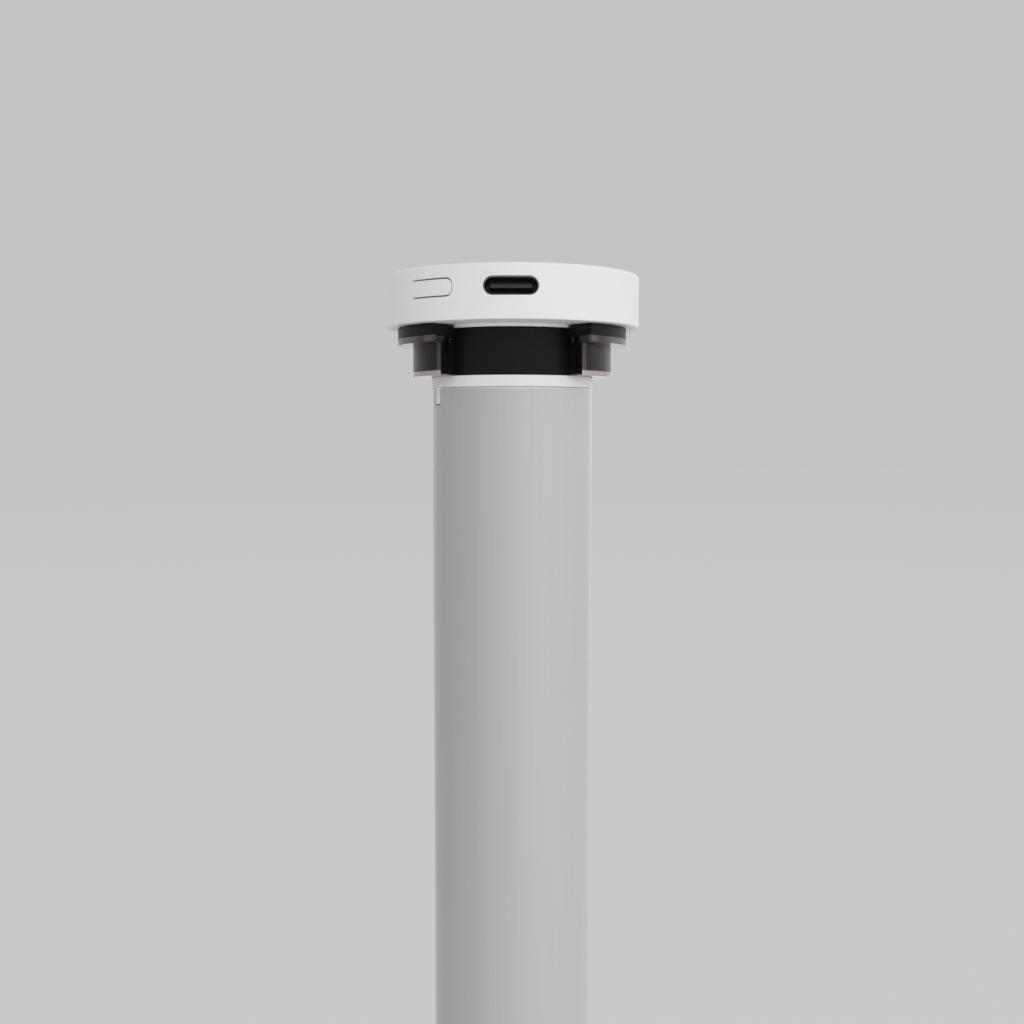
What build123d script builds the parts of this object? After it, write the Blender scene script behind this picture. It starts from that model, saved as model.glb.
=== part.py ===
from build123d import *
from math import acos, cos, degrees, pi, radians, sin, sqrt, tan
import os

# Battery motor for a roller blind, standing as it is held by its wall bracket. Z runs up the
# motor's axis. The face that meets the bracket is on top, at Z = 0, and the charge port looks
# along -Y. Sizes are in millimetres and degrees.

os.makedirs("parts", exist_ok=True)

# Driving sizes
head_radius = 22.0
head_height = 8.8
tube_radius = 14.0
tube_wall = 0.8
stop_radius = 19.85
wing_half_angle = 49.3
wing_angles = (0, 180)
cell_radius = 9.2
cell_length = 65.2
cell_count = 3
board_length = 60.0
sun_teeth = 12
planet_teeth = 15
planet_count = 3
stage_count = 3
motor_length = 42.0
wheel_length = 14.0

# Clearances. The running fit is radial, the running gap is along the axis, and the push fit is
# between pieces that are pressed or slid together and then stay.
running_clearance = 0.05
running_gap = 0.1
stage_gap = 0.3
push_clearance = 0.05
overrun = 1.0

# Heights of the faces that pieces share, from the bracket face down
head_wall = 1.6
head_floor = 1.4
cover_thickness = 1.4
boss_height = 0.5
crown_height = 7.65
collar_height = 1.92
spigot_length = 12.0
board_seat_depth = 2.0
cap_thickness = 4.0
tab_thickness = 0.3
skirt_length = 5.0
isolator_floor = 3.0
plate_thickness = 2.5
gear_width = 6.0
carrier_thickness = 2.0
pad_thickness = 1.5
plug_length = 12.0
plug_flange_thickness = 2.0

ledge = -cover_thickness
head_bottom = -head_height
floor_top = head_bottom + head_floor
boss_bottom = head_bottom - boss_height
crown_top = boss_bottom - running_gap
crown_bottom = crown_top - crown_height
collar_top = crown_bottom - running_gap
tube_top = collar_top - collar_height
spigot_end = tube_top - spigot_length
board_top = spigot_end + board_seat_depth
board_bottom = board_top - board_length
carrier_top = board_bottom + board_seat_depth
cells_top = carrier_top - cap_thickness - tab_thickness
cell_pitch = cell_length + tab_thickness
cells_bottom = cells_top - cell_count * cell_pitch + tab_thickness
carrier_bottom = cells_bottom - tab_thickness - cap_thickness
skirt_end = carrier_bottom - skirt_length
motor_back = skirt_end - isolator_floor
motor_front = motor_back - motor_length
gear_top = motor_front - plate_thickness
stage_pitch = gear_width + 2 * stage_gap + carrier_thickness
gear_bottom = gear_top - stage_gap - stage_count * stage_pitch
plug_top = gear_bottom - pad_thickness
tube_bottom = plug_top - plug_length
wheel_top = tube_bottom - plug_flange_thickness - stage_gap
wheel_bottom = wheel_top - wheel_length

# Radii that follow from the tube's. The crown's core is a little inside the tube's outside, and
# from it the lug's two steps and the damper's wall lead out to the inside of the roller tube.
core_inset_width = 0.05
lug_root_thickness = 1.45
lug_step_thickness = 0.95
damper_wall = 0.9
shoulder_width = 1.95
isolator_wall = 1.15
housing_wall = 2.025
dedendum_share = 1.25
addendum_share = 0.9

tube_inside = tube_radius - tube_wall
inside_radius = tube_inside - push_clearance
head_inside = head_radius - head_wall
neck_radius = inside_radius - shoulder_width
core_radius = tube_radius - core_inset_width
lug_step_radius = core_radius + lug_root_thickness
lug_radius = lug_step_radius + lug_step_thickness
seat_radius = lug_radius + damper_wall
motor_radius = inside_radius - isolator_wall
ring_teeth = sun_teeth + 2 * planet_teeth
gear_module = (inside_radius - housing_wall) / (ring_teeth / 2 + dedendum_share)

# The lug and its damper end a little inside the wing's ends.
lug_end_inset_angle = 1.7
shoe_half_angle = wing_half_angle - lug_end_inset_angle
lug_half_angle = shoe_half_angle - degrees(damper_wall / lug_radius)


def sector(inner, outer, middle, half_angle):
    """Flat ring segment between two radii, centred on one direction."""
    with BuildSketch() as segment:
        with BuildLine():
            far = CenterArc((0, 0), outer, middle - half_angle, 2 * half_angle)
            near = CenterArc((0, 0), inner, middle - half_angle, 2 * half_angle)
            Line(near @ 0, far @ 0)
            Line(near @ 1, far @ 1)
        make_face()
    return segment.sketch


def radial_plane(angle, radius, height):
    """Plane that faces outward at one direction, with its own X along the rim."""
    outward = Vector(cos(radians(angle)), sin(radians(angle)), 0)
    along = Vector(-sin(radians(angle)), cos(radians(angle)), 0)
    return Plane(origin=outward * radius + Vector(0, 0, height), x_dir=along, z_dir=outward)


# Head shell: a white moulded cup with a vertical rim. Its floor carries the board, the neck
# hangs from a shallow boss ring under it. Its rim has the slot that leaves the button standing
# as a tongue, and the charge opening, whose lip just covers the edge of the port's shell.
edge_radius = 0.4
foot_radius = 0.2
rim_land_width = 0.8
boss_rim_width = 0.35
boss_radius = core_radius + boss_rim_width
post_radius = 1.7
post_gap = 1.1
post_circle_radius = head_inside - post_gap - post_radius
post_count = 3
post_start = 90
standoff_radius = 2.0
bracket_inset_width = 4.6
bracket_circle_radius = post_circle_radius - bracket_inset_width
bracket_screw_count = 4
bracket_screw_start = 45
bracket_hole = 1.25
wire_slot_inner_radius = 6.2
wire_slot_outer_radius = 7.5
wire_slot_angle = 50
wire_slot_start = 45
neck_screw_offset = 9.6
neck_screw_count = 4
screw_radius = 0.9
screw_length = 7.0
screw_head_radius = 1.6
screw_head_height = 1.0
screw_clearance = 0.2

port_width = 8.94
port_height = 3.16
port_cover_gap = 0.6
port_z = ledge - port_cover_gap - port_height / 2
port_gap = 0.06
port_cover_width = 0.08
port_mouth_depth = 0.9
port_mouth = head_radius - port_mouth_depth
button_angle = -125.6
button_length = 8.15
button_height = 2.99
button_slot = 0.22
button_root_gap = 0.02
button_corner = 1.2
board_thickness = 1.0
board_face = port_z - port_height / 2
board_back = board_face - board_thickness
cover_seat = head_radius - rim_land_width
button_plane = radial_plane(button_angle, head_radius, port_z)

with BuildPart() as head_shell:
    with BuildSketch(Plane.XZ):
        with BuildLine():
            Polyline(
                (0, floor_top),
                (head_inside, floor_top),
                (head_inside, ledge),
                (cover_seat, ledge),
                (cover_seat, 0),
                (head_radius, 0),
                (head_radius, head_bottom),
                (boss_radius, head_bottom),
                (boss_radius, boss_bottom),
                (neck_radius + push_clearance, boss_bottom),
                (neck_radius + push_clearance, head_bottom),
                (0, head_bottom),
                close=True,
            )
        make_face()
    revolve(axis=Axis.Z)
    rim_edges = head_shell.edges().filter_by(GeomType.CIRCLE)
    fillet(rim_edges.group_by(Axis.Z)[-1].sort_by(SortBy.RADIUS)[-1], edge_radius)
    foot_edges = head_shell.edges().filter_by(GeomType.CIRCLE)
    foot_edges = foot_edges.filter_by_position(
        Axis.Z, head_bottom - push_clearance, head_bottom + push_clearance
    )
    fillet(foot_edges.sort_by(SortBy.RADIUS)[-1], foot_radius)
    with BuildSketch(Plane.XY.offset(floor_top)):
        with PolarLocations(post_circle_radius, post_count, start_angle=post_start):
            Circle(post_radius)
    extrude(amount=ledge - floor_top)
    with BuildSketch(Plane.XY.offset(floor_top)):
        with PolarLocations(
            bracket_circle_radius, bracket_screw_count, start_angle=bracket_screw_start
        ):
            Circle(standoff_radius)
    extrude(amount=board_back - floor_top)
    with BuildSketch(Plane.XY.offset(ledge)):
        with PolarLocations(post_circle_radius, post_count, start_angle=post_start):
            Circle(screw_radius)
    extrude(amount=floor_top - ledge, mode=Mode.SUBTRACT)
    with BuildSketch(Plane.XY.offset(floor_top)):
        with PolarLocations(neck_screw_offset, neck_screw_count):
            Circle(screw_radius + screw_clearance)
        for side in wing_angles:
            middle = side + wire_slot_start
            add(sector(wire_slot_inner_radius, wire_slot_outer_radius, middle, wire_slot_angle / 2))
    extrude(amount=-(head_floor + overrun), mode=Mode.SUBTRACT)
    with BuildSketch(Plane.XZ.offset(head_radius + overrun)):
        with Locations((0, port_z)):
            SlotOverall(port_width - 2 * port_cover_width, port_height - 2 * port_cover_width)
    extrude(amount=-(2 * head_wall + overrun), mode=Mode.SUBTRACT)
    with BuildSketch(Plane.XZ.offset(port_mouth + port_gap)):
        with Locations((0, port_z)):
            SlotOverall(port_width + 2 * port_gap, port_height + 2 * port_gap)
    extrude(amount=-2 * head_wall, mode=Mode.SUBTRACT)
    with BuildSketch(button_plane.offset(overrun)) as button_opening:
        Rectangle(button_length, button_height)
        fillet(button_opening.vertices().group_by(Axis.X)[-1], button_corner)
    extrude(amount=-(2 * head_wall + overrun), mode=Mode.SUBTRACT)
head_shell.part.label = "head_shell"
export_step(head_shell.part, "parts/head_shell.step")

# Pairing button: the tongue of the rim inside that slot. It stays joined to the rim at its
# left end, where it bends, and its free end is rounded.
with BuildPart() as pairing_button:
    with BuildSketch(button_plane.offset(overrun)) as button_face:
        key_length = button_length - button_slot - button_root_gap
        with Locations(((button_root_gap - button_slot) / 2, 0)):
            Rectangle(key_length, button_height - 2 * button_slot)
        fillet(button_face.vertices().group_by(Axis.X)[-1], button_corner - button_slot)
    extrude(amount=-(2 * head_wall + overrun))
    with BuildSketch(Plane.XY):
        Circle(head_radius)
        Circle(head_inside, mode=Mode.SUBTRACT)
    extrude(amount=-head_height, mode=Mode.INTERSECT)
pairing_button.part.label = "pairing_button"
export_step(pairing_button.part, "parts/pairing_button.step")

# Head cover: the flush face that meets the bracket. A closed hub in its middle takes the
# bracket's stud, and four bosses take the bracket's screws and hold the board down.
socket_radius = 4.05
socket_depth = 6.0
hub_wall = 1.5
bracket_boss_radius = 2.4
counterbore_depth = 0.8
cover_edge_width = 0.15
lead_in_width = 0.3

with BuildPart() as head_cover:
    with BuildSketch(Plane.XY):
        Circle(cover_seat - push_clearance)
    extrude(amount=-cover_thickness)
    chamfer(head_cover.edges().group_by(Axis.Z)[-1], cover_edge_width)
    with BuildSketch(Plane.XY.offset(ledge)):
        Circle(socket_radius + hub_wall)
    extrude(amount=floor_top - ledge)
    with BuildSketch(Plane.XY.offset(ledge)):
        with PolarLocations(
            bracket_circle_radius, bracket_screw_count, start_angle=bracket_screw_start
        ):
            Circle(bracket_boss_radius)
    extrude(amount=board_face - ledge)
    with BuildSketch(Plane.XY):
        Circle(socket_radius)
    extrude(amount=-socket_depth, mode=Mode.SUBTRACT)
    with BuildSketch(Plane.XY):
        with PolarLocations(
            bracket_circle_radius, bracket_screw_count, start_angle=bracket_screw_start
        ):
            Circle(bracket_hole)
    extrude(amount=board_face, mode=Mode.SUBTRACT)
    with Locations(Plane.XY):
        with PolarLocations(post_circle_radius, post_count, start_angle=post_start):
            CounterBoreHole(
                screw_radius + screw_clearance,
                screw_head_radius + screw_clearance,
                counterbore_depth,
                depth=cover_thickness,
            )
head_cover.part.label = "head_cover"
export_step(head_cover.part, "parts/head_cover.step")

# Cover screws: three self-tapping screws down into the posts of the shell.
cover_head_height = 0.7
cover_screw_length = 5.0
with BuildPart() as cover_screws:
    with BuildSketch(Plane.XY.offset(-counterbore_depth)):
        with PolarLocations(post_circle_radius, post_count, start_angle=post_start):
            Circle(screw_head_radius)
    extrude(amount=cover_head_height)
    with BuildSketch(Plane.XY.offset(-counterbore_depth)):
        with PolarLocations(post_circle_radius, post_count, start_angle=post_start):
            Circle(screw_radius)
    extrude(amount=-cover_screw_length)
cover_screws.part.label = "cover_screws"
export_step(cover_screws.part, "parts/cover_screws.step")

# Head board: the ring-shaped circuit board that carries the charge port and the switch. It is
# notched round the shell's posts.
head_board_inner_radius = wire_slot_inner_radius
board_rim_gap = 1.4
head_board_radius = head_inside - board_rim_gap
board_notch_radius = post_radius + post_gap / 2
with BuildPart() as head_board:
    with BuildSketch(Plane.XY.offset(board_back)):
        Circle(head_board_radius)
        Circle(head_board_inner_radius, mode=Mode.SUBTRACT)
        with PolarLocations(post_circle_radius, post_count, start_angle=post_start):
            Circle(board_notch_radius, mode=Mode.SUBTRACT)
    extrude(amount=board_thickness)
head_board.part.label = "head_board"
export_step(head_board.part, "parts/head_board.step")

# Charge port: a drawn metal shell with a round-ended mouth, and inside it a flat contact tongue
# on a moulded back block.
port_shell_wall = 0.3
port_length = 7.3
port_back_length = 1.6
tongue_width = 6.69
tongue_thickness = 0.7
tongue_recess = 0.5
with BuildPart() as charge_port_shell:
    with BuildSketch(Plane.XZ.offset(port_mouth)):
        with Locations((0, port_z)):
            SlotOverall(port_width, port_height)
            SlotOverall(
                port_width - 2 * port_shell_wall,
                port_height - 2 * port_shell_wall,
                mode=Mode.SUBTRACT,
            )
    extrude(amount=-port_length)
charge_port_shell.part.label = "charge_port_shell"
export_step(charge_port_shell.part, "parts/charge_port_shell.step")

with BuildPart() as charge_port_tongue:
    with BuildSketch(Plane.XZ.offset(port_mouth - port_length)):
        with Locations((0, port_z)):
            SlotOverall(
                port_width - 2 * port_shell_wall - push_clearance,
                port_height - 2 * port_shell_wall - push_clearance,
            )
    extrude(amount=port_back_length)
    with BuildSketch(Plane.XZ.offset(port_mouth - port_length + port_back_length)):
        with Locations((0, port_z)):
            Rectangle(tongue_width, tongue_thickness)
    extrude(amount=port_length - port_back_length - tongue_recess)
charge_port_tongue.part.label = "charge_port_tongue"
export_step(charge_port_tongue.part, "parts/charge_port_tongue.step")

# Tact switch: a small side-pressed switch on the board behind the button's free end, and its
# plunger, which stands just short of the button.
press_arm_length = 6.3
switch_width = 3.6
switch_depth = 2.4
switch_height = 2.2
switch_inset_depth = 2.0
switch_face = head_inside - switch_inset_depth
plunger_width = 1.5
plunger_height = 1.0
plunger_z = board_face + switch_height / 2
plunger_back = 1.2
plunger_gap = 0.1
press_along = press_arm_length - button_length / 2
plunger_tip = sqrt(head_inside**2 - (press_along + plunger_width / 2) ** 2) - plunger_gap
switch_plane = radial_plane(button_angle, switch_face, 0)
with BuildPart() as tact_switch:
    with BuildSketch(switch_plane):
        with Locations((press_along, board_face + switch_height / 2)):
            Rectangle(switch_width, switch_height)
    extrude(amount=-switch_depth)
    with BuildSketch(switch_plane):
        with Locations((press_along, plunger_z)):
            Rectangle(plunger_width + 2 * running_gap, plunger_height + 2 * running_gap)
    extrude(amount=-(plunger_back + stage_gap), mode=Mode.SUBTRACT)
tact_switch.part.label = "tact_switch"
export_step(tact_switch.part, "parts/tact_switch.step")

with BuildPart() as switch_plunger:
    with BuildSketch(switch_plane.offset(-plunger_back)):
        with Locations((press_along, plunger_z)):
            Rectangle(plunger_width, plunger_height)
    extrude(amount=plunger_tip - switch_face + plunger_back)
switch_plunger.part.label = "switch_plunger"
export_step(switch_plunger.part, "parts/switch_plunger.step")

# Neck: the black journal that hangs from the head. The crown turns on its upper part, and its
# spigot fills the top of the motor tube. Its web has a slot for the end of the long board.
neck_bore = 8.0
web_thickness = 4.0
web_hole_radius = 3.0
board_width = 20.0
long_board_thickness = 1.2
tube_screw_angles = (60, 120)
tube_screw_z = tube_top - spigot_length / 2
pilot_depth = 3.0
with BuildPart() as neck:
    with BuildSketch(Plane.XZ):
        with BuildLine():
            Polyline(
                (neck_bore, head_bottom),
                (neck_radius, head_bottom),
                (neck_radius, tube_top),
                (inside_radius, tube_top),
                (inside_radius, spigot_end),
                (web_hole_radius, spigot_end),
                (web_hole_radius, spigot_end + web_thickness),
                (neck_bore, spigot_end + web_thickness),
                close=True,
            )
        make_face()
    revolve(axis=Axis.Z)
    with BuildSketch(Plane.XY.offset(spigot_end)):
        Rectangle(board_width + 2 * push_clearance, long_board_thickness + 2 * push_clearance)
    extrude(amount=board_seat_depth, mode=Mode.SUBTRACT)
    with BuildSketch(Plane.XY.offset(head_bottom)):
        with PolarLocations(neck_screw_offset, neck_screw_count):
            Circle(screw_radius + push_clearance)
    extrude(amount=-screw_length, mode=Mode.SUBTRACT)
    for angle in tube_screw_angles:
        with BuildSketch(radial_plane(angle, inside_radius, tube_screw_z)):
            Circle(screw_radius + push_clearance)
        extrude(amount=-pilot_depth, mode=Mode.SUBTRACT)
neck.part.label = "neck"
export_step(neck.part, "parts/neck.step")

# Neck screws: four screws down through the head's floor into the neck's wall.
with BuildPart() as neck_screws:
    with BuildSketch(Plane.XY.offset(floor_top)):
        with PolarLocations(neck_screw_offset, neck_screw_count):
            Circle(screw_head_radius)
    extrude(amount=screw_head_height)
    with BuildSketch(Plane.XY.offset(floor_top)):
        with PolarLocations(neck_screw_offset, neck_screw_count):
            Circle(screw_radius)
    extrude(amount=-screw_length)
neck_screws.part.label = "neck_screws"
export_step(neck_screws.part, "parts/neck_screws.step")

# Crown: the black idler ring that the top of the roller tube is pushed onto. It turns on the
# neck. Two wings reach out to stop the roller tube, and a stepped lug stands under each.
flange_lift_height = 0.46
flange_thickness = 1.81
soft_flange_thickness = 1.1
lug_foot_height = 0.85
damper_overlap_height = 0.15
damper_bottom = crown_bottom - damper_overlap_height
lug_bottom = crown_bottom + lug_foot_height
flange_top = crown_top + flange_lift_height
flange_bottom = flange_top - flange_thickness
damper_flange_bottom = flange_bottom - soft_flange_thickness
wing_inner = boss_radius + stage_gap
crown_edge_width = 0.15

with BuildPart() as crown:
    with BuildSketch(Plane.XY.offset(crown_top)):
        Circle(core_radius)
        Circle(neck_radius + running_clearance, mode=Mode.SUBTRACT)
    extrude(amount=-crown_height)
    chamfer(crown.edges().group_by(Axis.Z)[-1].sort_by(SortBy.RADIUS)[-1], crown_edge_width)
    with BuildSketch(Plane.XY.offset(flange_bottom)):
        for side in wing_angles:
            add(sector(core_radius - damper_wall, stop_radius, side, wing_half_angle))
    extrude(amount=crown_top - flange_bottom)
    with BuildSketch(Plane.XY.offset(crown_top)):
        for side in wing_angles:
            add(sector(wing_inner, stop_radius, side, wing_half_angle))
    extrude(amount=flange_lift_height)
    with BuildSketch(Plane.XY.offset(flange_bottom)):
        for side in wing_angles:
            add(sector(core_radius - damper_wall, lug_step_radius, side, shoe_half_angle))
    extrude(amount=crown_bottom - flange_bottom)
    with BuildSketch(Plane.XY.offset(flange_bottom)):
        for side in wing_angles:
            add(sector(core_radius - damper_wall, lug_radius, side, lug_half_angle))
    extrude(amount=lug_bottom - flange_bottom)
crown.part.label = "crown"
export_step(crown.part, "parts/crown.step")

# Crown dampers: a clear soft shoe over each lug. Its flange lies under the wing, its wall wraps
# the lug and its floor closes under it.
for side, name in zip(wing_angles, ("right", "left")):
    with BuildPart() as crown_damper:
        with BuildSketch(Plane.XY.offset(flange_bottom)):
            add(sector(lug_step_radius, stop_radius, side, wing_half_angle))
        extrude(amount=-soft_flange_thickness)
        with BuildSketch(Plane.XY.offset(damper_flange_bottom)):
            add(sector(lug_step_radius, seat_radius, side, shoe_half_angle))
        extrude(amount=damper_bottom - damper_flange_bottom)
        with BuildSketch(Plane.XY.offset(flange_bottom)):
            add(sector(lug_step_radius - overrun, lug_radius, side, lug_half_angle))
        extrude(amount=lug_bottom - flange_bottom, mode=Mode.SUBTRACT)
    crown_damper.part.label = f"crown_damper_{name}"
    export_step(crown_damper.part, f"parts/crown_damper_{name}.step")

# Tube collar: the white ring between the crown and the motor tube. Two tongues key it into
# slots in the tube's end.
key_angles = (-154.5, 25.5)
key_width = 1.8
key_length = 2.8
key_gap = 0.2
key_half_angle = degrees(key_width / 2 / tube_radius)
with BuildPart() as tube_collar:
    with BuildSketch(Plane.XY.offset(tube_top)):
        Circle(tube_radius)
        Circle(neck_radius + push_clearance, mode=Mode.SUBTRACT)
    extrude(amount=collar_height)
    with BuildSketch(Plane.XY.offset(tube_top)):
        for angle in key_angles:
            add(sector(tube_inside, tube_radius, angle, key_half_angle))
    extrude(amount=-key_length)
tube_collar.part.label = "tube_collar"
export_step(tube_collar.part, "parts/tube_collar.step")

# Motor tube: the aluminium housing tube, with the collar's slots at the top and screw holes
# near both ends.
plug_screw_angles = (90, 210, 330)
plug_screw_z = tube_bottom + plug_length / 2
with BuildPart() as motor_tube:
    with BuildSketch(Plane.XY.offset(tube_bottom)):
        Circle(tube_radius)
        Circle(tube_inside, mode=Mode.SUBTRACT)
    extrude(amount=tube_top - tube_bottom)
    with BuildSketch(Plane.XY.offset(tube_top)):
        for angle in key_angles:
            slot_half_angle = degrees((key_width / 2 + key_gap) / tube_radius)
            add(sector(tube_inside - overrun, tube_radius + overrun, angle, slot_half_angle))
    extrude(amount=-(key_length + key_gap), mode=Mode.SUBTRACT)
    for angle in tube_screw_angles:
        with BuildSketch(radial_plane(angle, tube_radius + overrun, tube_screw_z)):
            Circle(screw_radius + screw_clearance)
        extrude(amount=-(tube_wall + 2 * overrun), mode=Mode.SUBTRACT)
    for angle in plug_screw_angles:
        with BuildSketch(radial_plane(angle, tube_radius + overrun, plug_screw_z)):
            Circle(screw_radius + screw_clearance)
        extrude(amount=-(tube_wall + 2 * overrun), mode=Mode.SUBTRACT)
motor_tube.part.label = "motor_tube"
export_step(motor_tube.part, "parts/motor_tube.step")

# Tube screws: short pan-head screws through the tube into the neck's spigot and the end plug.
tube_screw_length = 3.0
tube_screw_head_height = 0.8
tube_screw_places = [(angle, tube_screw_z) for angle in tube_screw_angles]
tube_screw_places += [(angle, plug_screw_z) for angle in plug_screw_angles]
with BuildPart() as tube_screws:
    for angle, height in tube_screw_places:
        with BuildSketch(radial_plane(angle, tube_radius, height)):
            Circle(screw_head_radius)
        extrude(amount=tube_screw_head_height)
        with BuildSketch(radial_plane(angle, tube_radius, height)):
            Circle(screw_radius)
        extrude(amount=-tube_screw_length)
tube_screws.part.label = "tube_screws"
export_step(tube_screws.part, "parts/tube_screws.step")

# Control board: the long circuit board, slid into the neck's web at the top and into the
# battery carrier's cap at the bottom.
with BuildPart() as control_board:
    with BuildSketch(Plane.XY.offset(board_bottom)):
        Rectangle(board_width, long_board_thickness)
    extrude(amount=board_length)
control_board.part.label = "control_board"
export_step(control_board.part, "parts/control_board.step")

# Radio module: the metal can of the radio, soldered on the front of the long board.
front_face = -long_board_thickness / 2
back_face = long_board_thickness / 2
radio_width = 13.0
radio_length = 18.0
radio_height = 2.4
radio_drop_length = 6.0
radio_middle = spigot_end - radio_drop_length - radio_length / 2
with BuildPart() as radio_module:
    with BuildSketch(Plane.XZ.offset(-front_face)):
        with Locations((0, radio_middle)):
            Rectangle(radio_width, radio_length)
    extrude(amount=radio_height)
    radio_edges = radio_module.edges().filter_by(Axis.Y)
    chamfer(radio_edges, radio_height / 4)
radio_module.part.label = "radio_module"
export_step(radio_module.part, "parts/radio_module.step")

# The other soldered parts share one node: the motor driver in front, and behind the board a
# tall capacitor and the two plug sockets for the head and the battery.
driver_width = 7.0
driver_height = 1.1
driver_middle = radio_middle - radio_length / 2 - driver_width
capacitor_radius = 3.15
capacitor_length = 9.0
socket_width = 7.5
socket_length = 5.5
socket_height = 3.6
socket_wall = 0.7
socket_heights = (radio_middle, board_bottom + 2 * board_seat_depth + socket_length)
with BuildPart() as board_parts:
    with BuildSketch(Plane.XZ.offset(-back_face)):
        with Locations((0, driver_middle)):
            Circle(capacitor_radius)
    extrude(amount=-capacitor_length)
    crimp = board_parts.edges().filter_by(GeomType.CIRCLE).sort_by(Axis.Y)[-1]
    fillet(crimp, capacitor_radius / 5)
    with BuildSketch(Plane.XZ.offset(-back_face)):
        with Locations(*[(0, height) for height in socket_heights]):
            Rectangle(socket_width, socket_length)
    extrude(amount=-socket_height)
    with BuildSketch(Plane.XZ.offset(-back_face - socket_wall)):
        with Locations(*[(0, height) for height in socket_heights]):
            Rectangle(socket_width - 2 * socket_wall, socket_length - 2 * socket_wall)
    extrude(amount=-socket_height, mode=Mode.SUBTRACT)
    with BuildSketch(Plane.XZ.offset(-front_face)):
        with Locations((0, driver_middle)):
            Rectangle(driver_width, driver_width)
    extrude(amount=driver_height)
board_parts.part.label = "board_parts"
export_step(board_parts.part, "parts/board_parts.step")

# Battery carrier: a ribbed cradle that holds the cells end to end. Its cradle wraps each cell
# past its middle, round ribs centre it in the tube, and its lower skirt covers the boards there.
cradle_wall = 1.2
cradle_half_angle = 125
rib_width = 2.0
rib_count = 7
skirt_wall = 1.0
strap_angle = -90
with BuildPart() as battery_carrier:
    cradle_outside = cell_radius + push_clearance + cradle_wall
    with BuildSketch(Plane.XY.offset(carrier_bottom)):
        add(sector(cell_radius + push_clearance, cradle_outside, strap_angle, cradle_half_angle))
    extrude(amount=carrier_top - carrier_bottom)
    for height in (carrier_bottom, carrier_top - cap_thickness):
        with BuildSketch(Plane.XY.offset(height)):
            Circle(inside_radius)
        extrude(amount=cap_thickness)
    rib_pitch = (cells_top - cells_bottom) / (rib_count + 1)
    for number in range(rib_count):
        with BuildSketch(Plane.XY.offset(cells_bottom + (number + 1) * rib_pitch)):
            add(sector(cell_radius + push_clearance, inside_radius, strap_angle, cradle_half_angle))
        extrude(amount=rib_width)
    with BuildSketch(Plane.XY.offset(skirt_end)):
        Circle(inside_radius)
        Circle(inside_radius - skirt_wall, mode=Mode.SUBTRACT)
    extrude(amount=skirt_length)
    with BuildSketch(Plane.XY.offset(carrier_top)):
        Rectangle(board_width + 2 * push_clearance, long_board_thickness + 2 * push_clearance)
    extrude(amount=-board_seat_depth, mode=Mode.SUBTRACT)
battery_carrier.part.label = "battery_carrier"
export_step(battery_carrier.part, "parts/battery_carrier.step")

# Battery cells: round lithium cells end to end, each with its small raised positive button.
cell_edge_radius = 0.6
for number in range(cell_count):
    foot = cells_top - number * cell_pitch - cell_length
    with BuildPart() as battery_cell:
        with BuildSketch(Plane.XY.offset(foot)):
            Circle(cell_radius)
        extrude(amount=cell_length)
        fillet(battery_cell.edges().filter_by(GeomType.CIRCLE), cell_edge_radius)
    battery_cell.part.label = f"battery_cell_{number + 1}"
    export_step(battery_cell.part, f"parts/battery_cell_{number + 1}.step")

# Cell tabs: nickel discs welded between the cells and at both ends of the row.
tab_radius = 4.0
with BuildPart() as cell_tabs:
    for number in range(cell_count + 1):
        with BuildSketch(Plane.XY.offset(cells_top - number * cell_pitch)):
            Circle(tab_radius)
        extrude(amount=tab_thickness)
cell_tabs.part.label = "cell_tabs"
export_step(cell_tabs.part, "parts/cell_tabs.step")

# Protection board under the battery, and the sensor board at the motor's back, whose chip
# reads the magnet on the motor shaft.
round_board_radius = inside_radius - skirt_wall - push_clearance
with BuildPart() as protection_board:
    with BuildSketch(Plane.XY.offset(carrier_bottom)):
        Circle(round_board_radius)
    extrude(amount=-board_thickness)
protection_board.part.label = "protection_board"
export_step(protection_board.part, "parts/protection_board.step")

sensor_chip_width = 3.0
sensor_chip_height = 0.8
with BuildPart() as sensor_board:
    with BuildSketch(Plane.XY.offset(skirt_end)):
        Circle(round_board_radius)
    extrude(amount=board_thickness)
    with BuildSketch(Plane.XY.offset(skirt_end)):
        Rectangle(sensor_chip_width, sensor_chip_width)
    extrude(amount=-sensor_chip_height)
sensor_board.part.label = "sensor_board"
export_step(sensor_board.part, "parts/sensor_board.step")

# Rear isolator: a rubber cup that holds the back of the motor and stops its hum.
isolator_depth = 8.0
isolator_window_radius = 6.5
with BuildPart() as rear_isolator:
    with BuildSketch(Plane.XY.offset(motor_back)):
        Circle(inside_radius)
        Circle(isolator_window_radius, mode=Mode.SUBTRACT)
    extrude(amount=isolator_floor)
    with BuildSketch(Plane.XY.offset(motor_back)):
        Circle(inside_radius)
        Circle(motor_radius, mode=Mode.SUBTRACT)
    extrude(amount=-isolator_depth)
rear_isolator.part.label = "rear_isolator"
export_step(rear_isolator.part, "parts/rear_isolator.step")

# Motor can: the drawn steel cup of the motor, open at the back, with a bearing boss in front.
can_wall = 1.0
bush_radius = 3.0
bush_length = 3.0
shaft_radius = 1.0
nose_radius = bush_radius + can_wall
nose_length = plate_thickness - stage_gap
with BuildPart() as motor_can:
    with BuildSketch(Plane.XZ):
        with BuildLine():
            Polyline(
                (motor_radius - can_wall, motor_back),
                (motor_radius, motor_back),
                (motor_radius, motor_front),
                (nose_radius, motor_front),
                (nose_radius, motor_front - nose_length),
                (bush_radius, motor_front - nose_length),
                (bush_radius, motor_front + can_wall),
                (motor_radius - can_wall, motor_front + can_wall),
                close=True,
            )
        make_face()
    revolve(axis=Axis.Z)
motor_can.part.label = "motor_can"
export_step(motor_can.part, "parts/motor_can.step")

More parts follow.
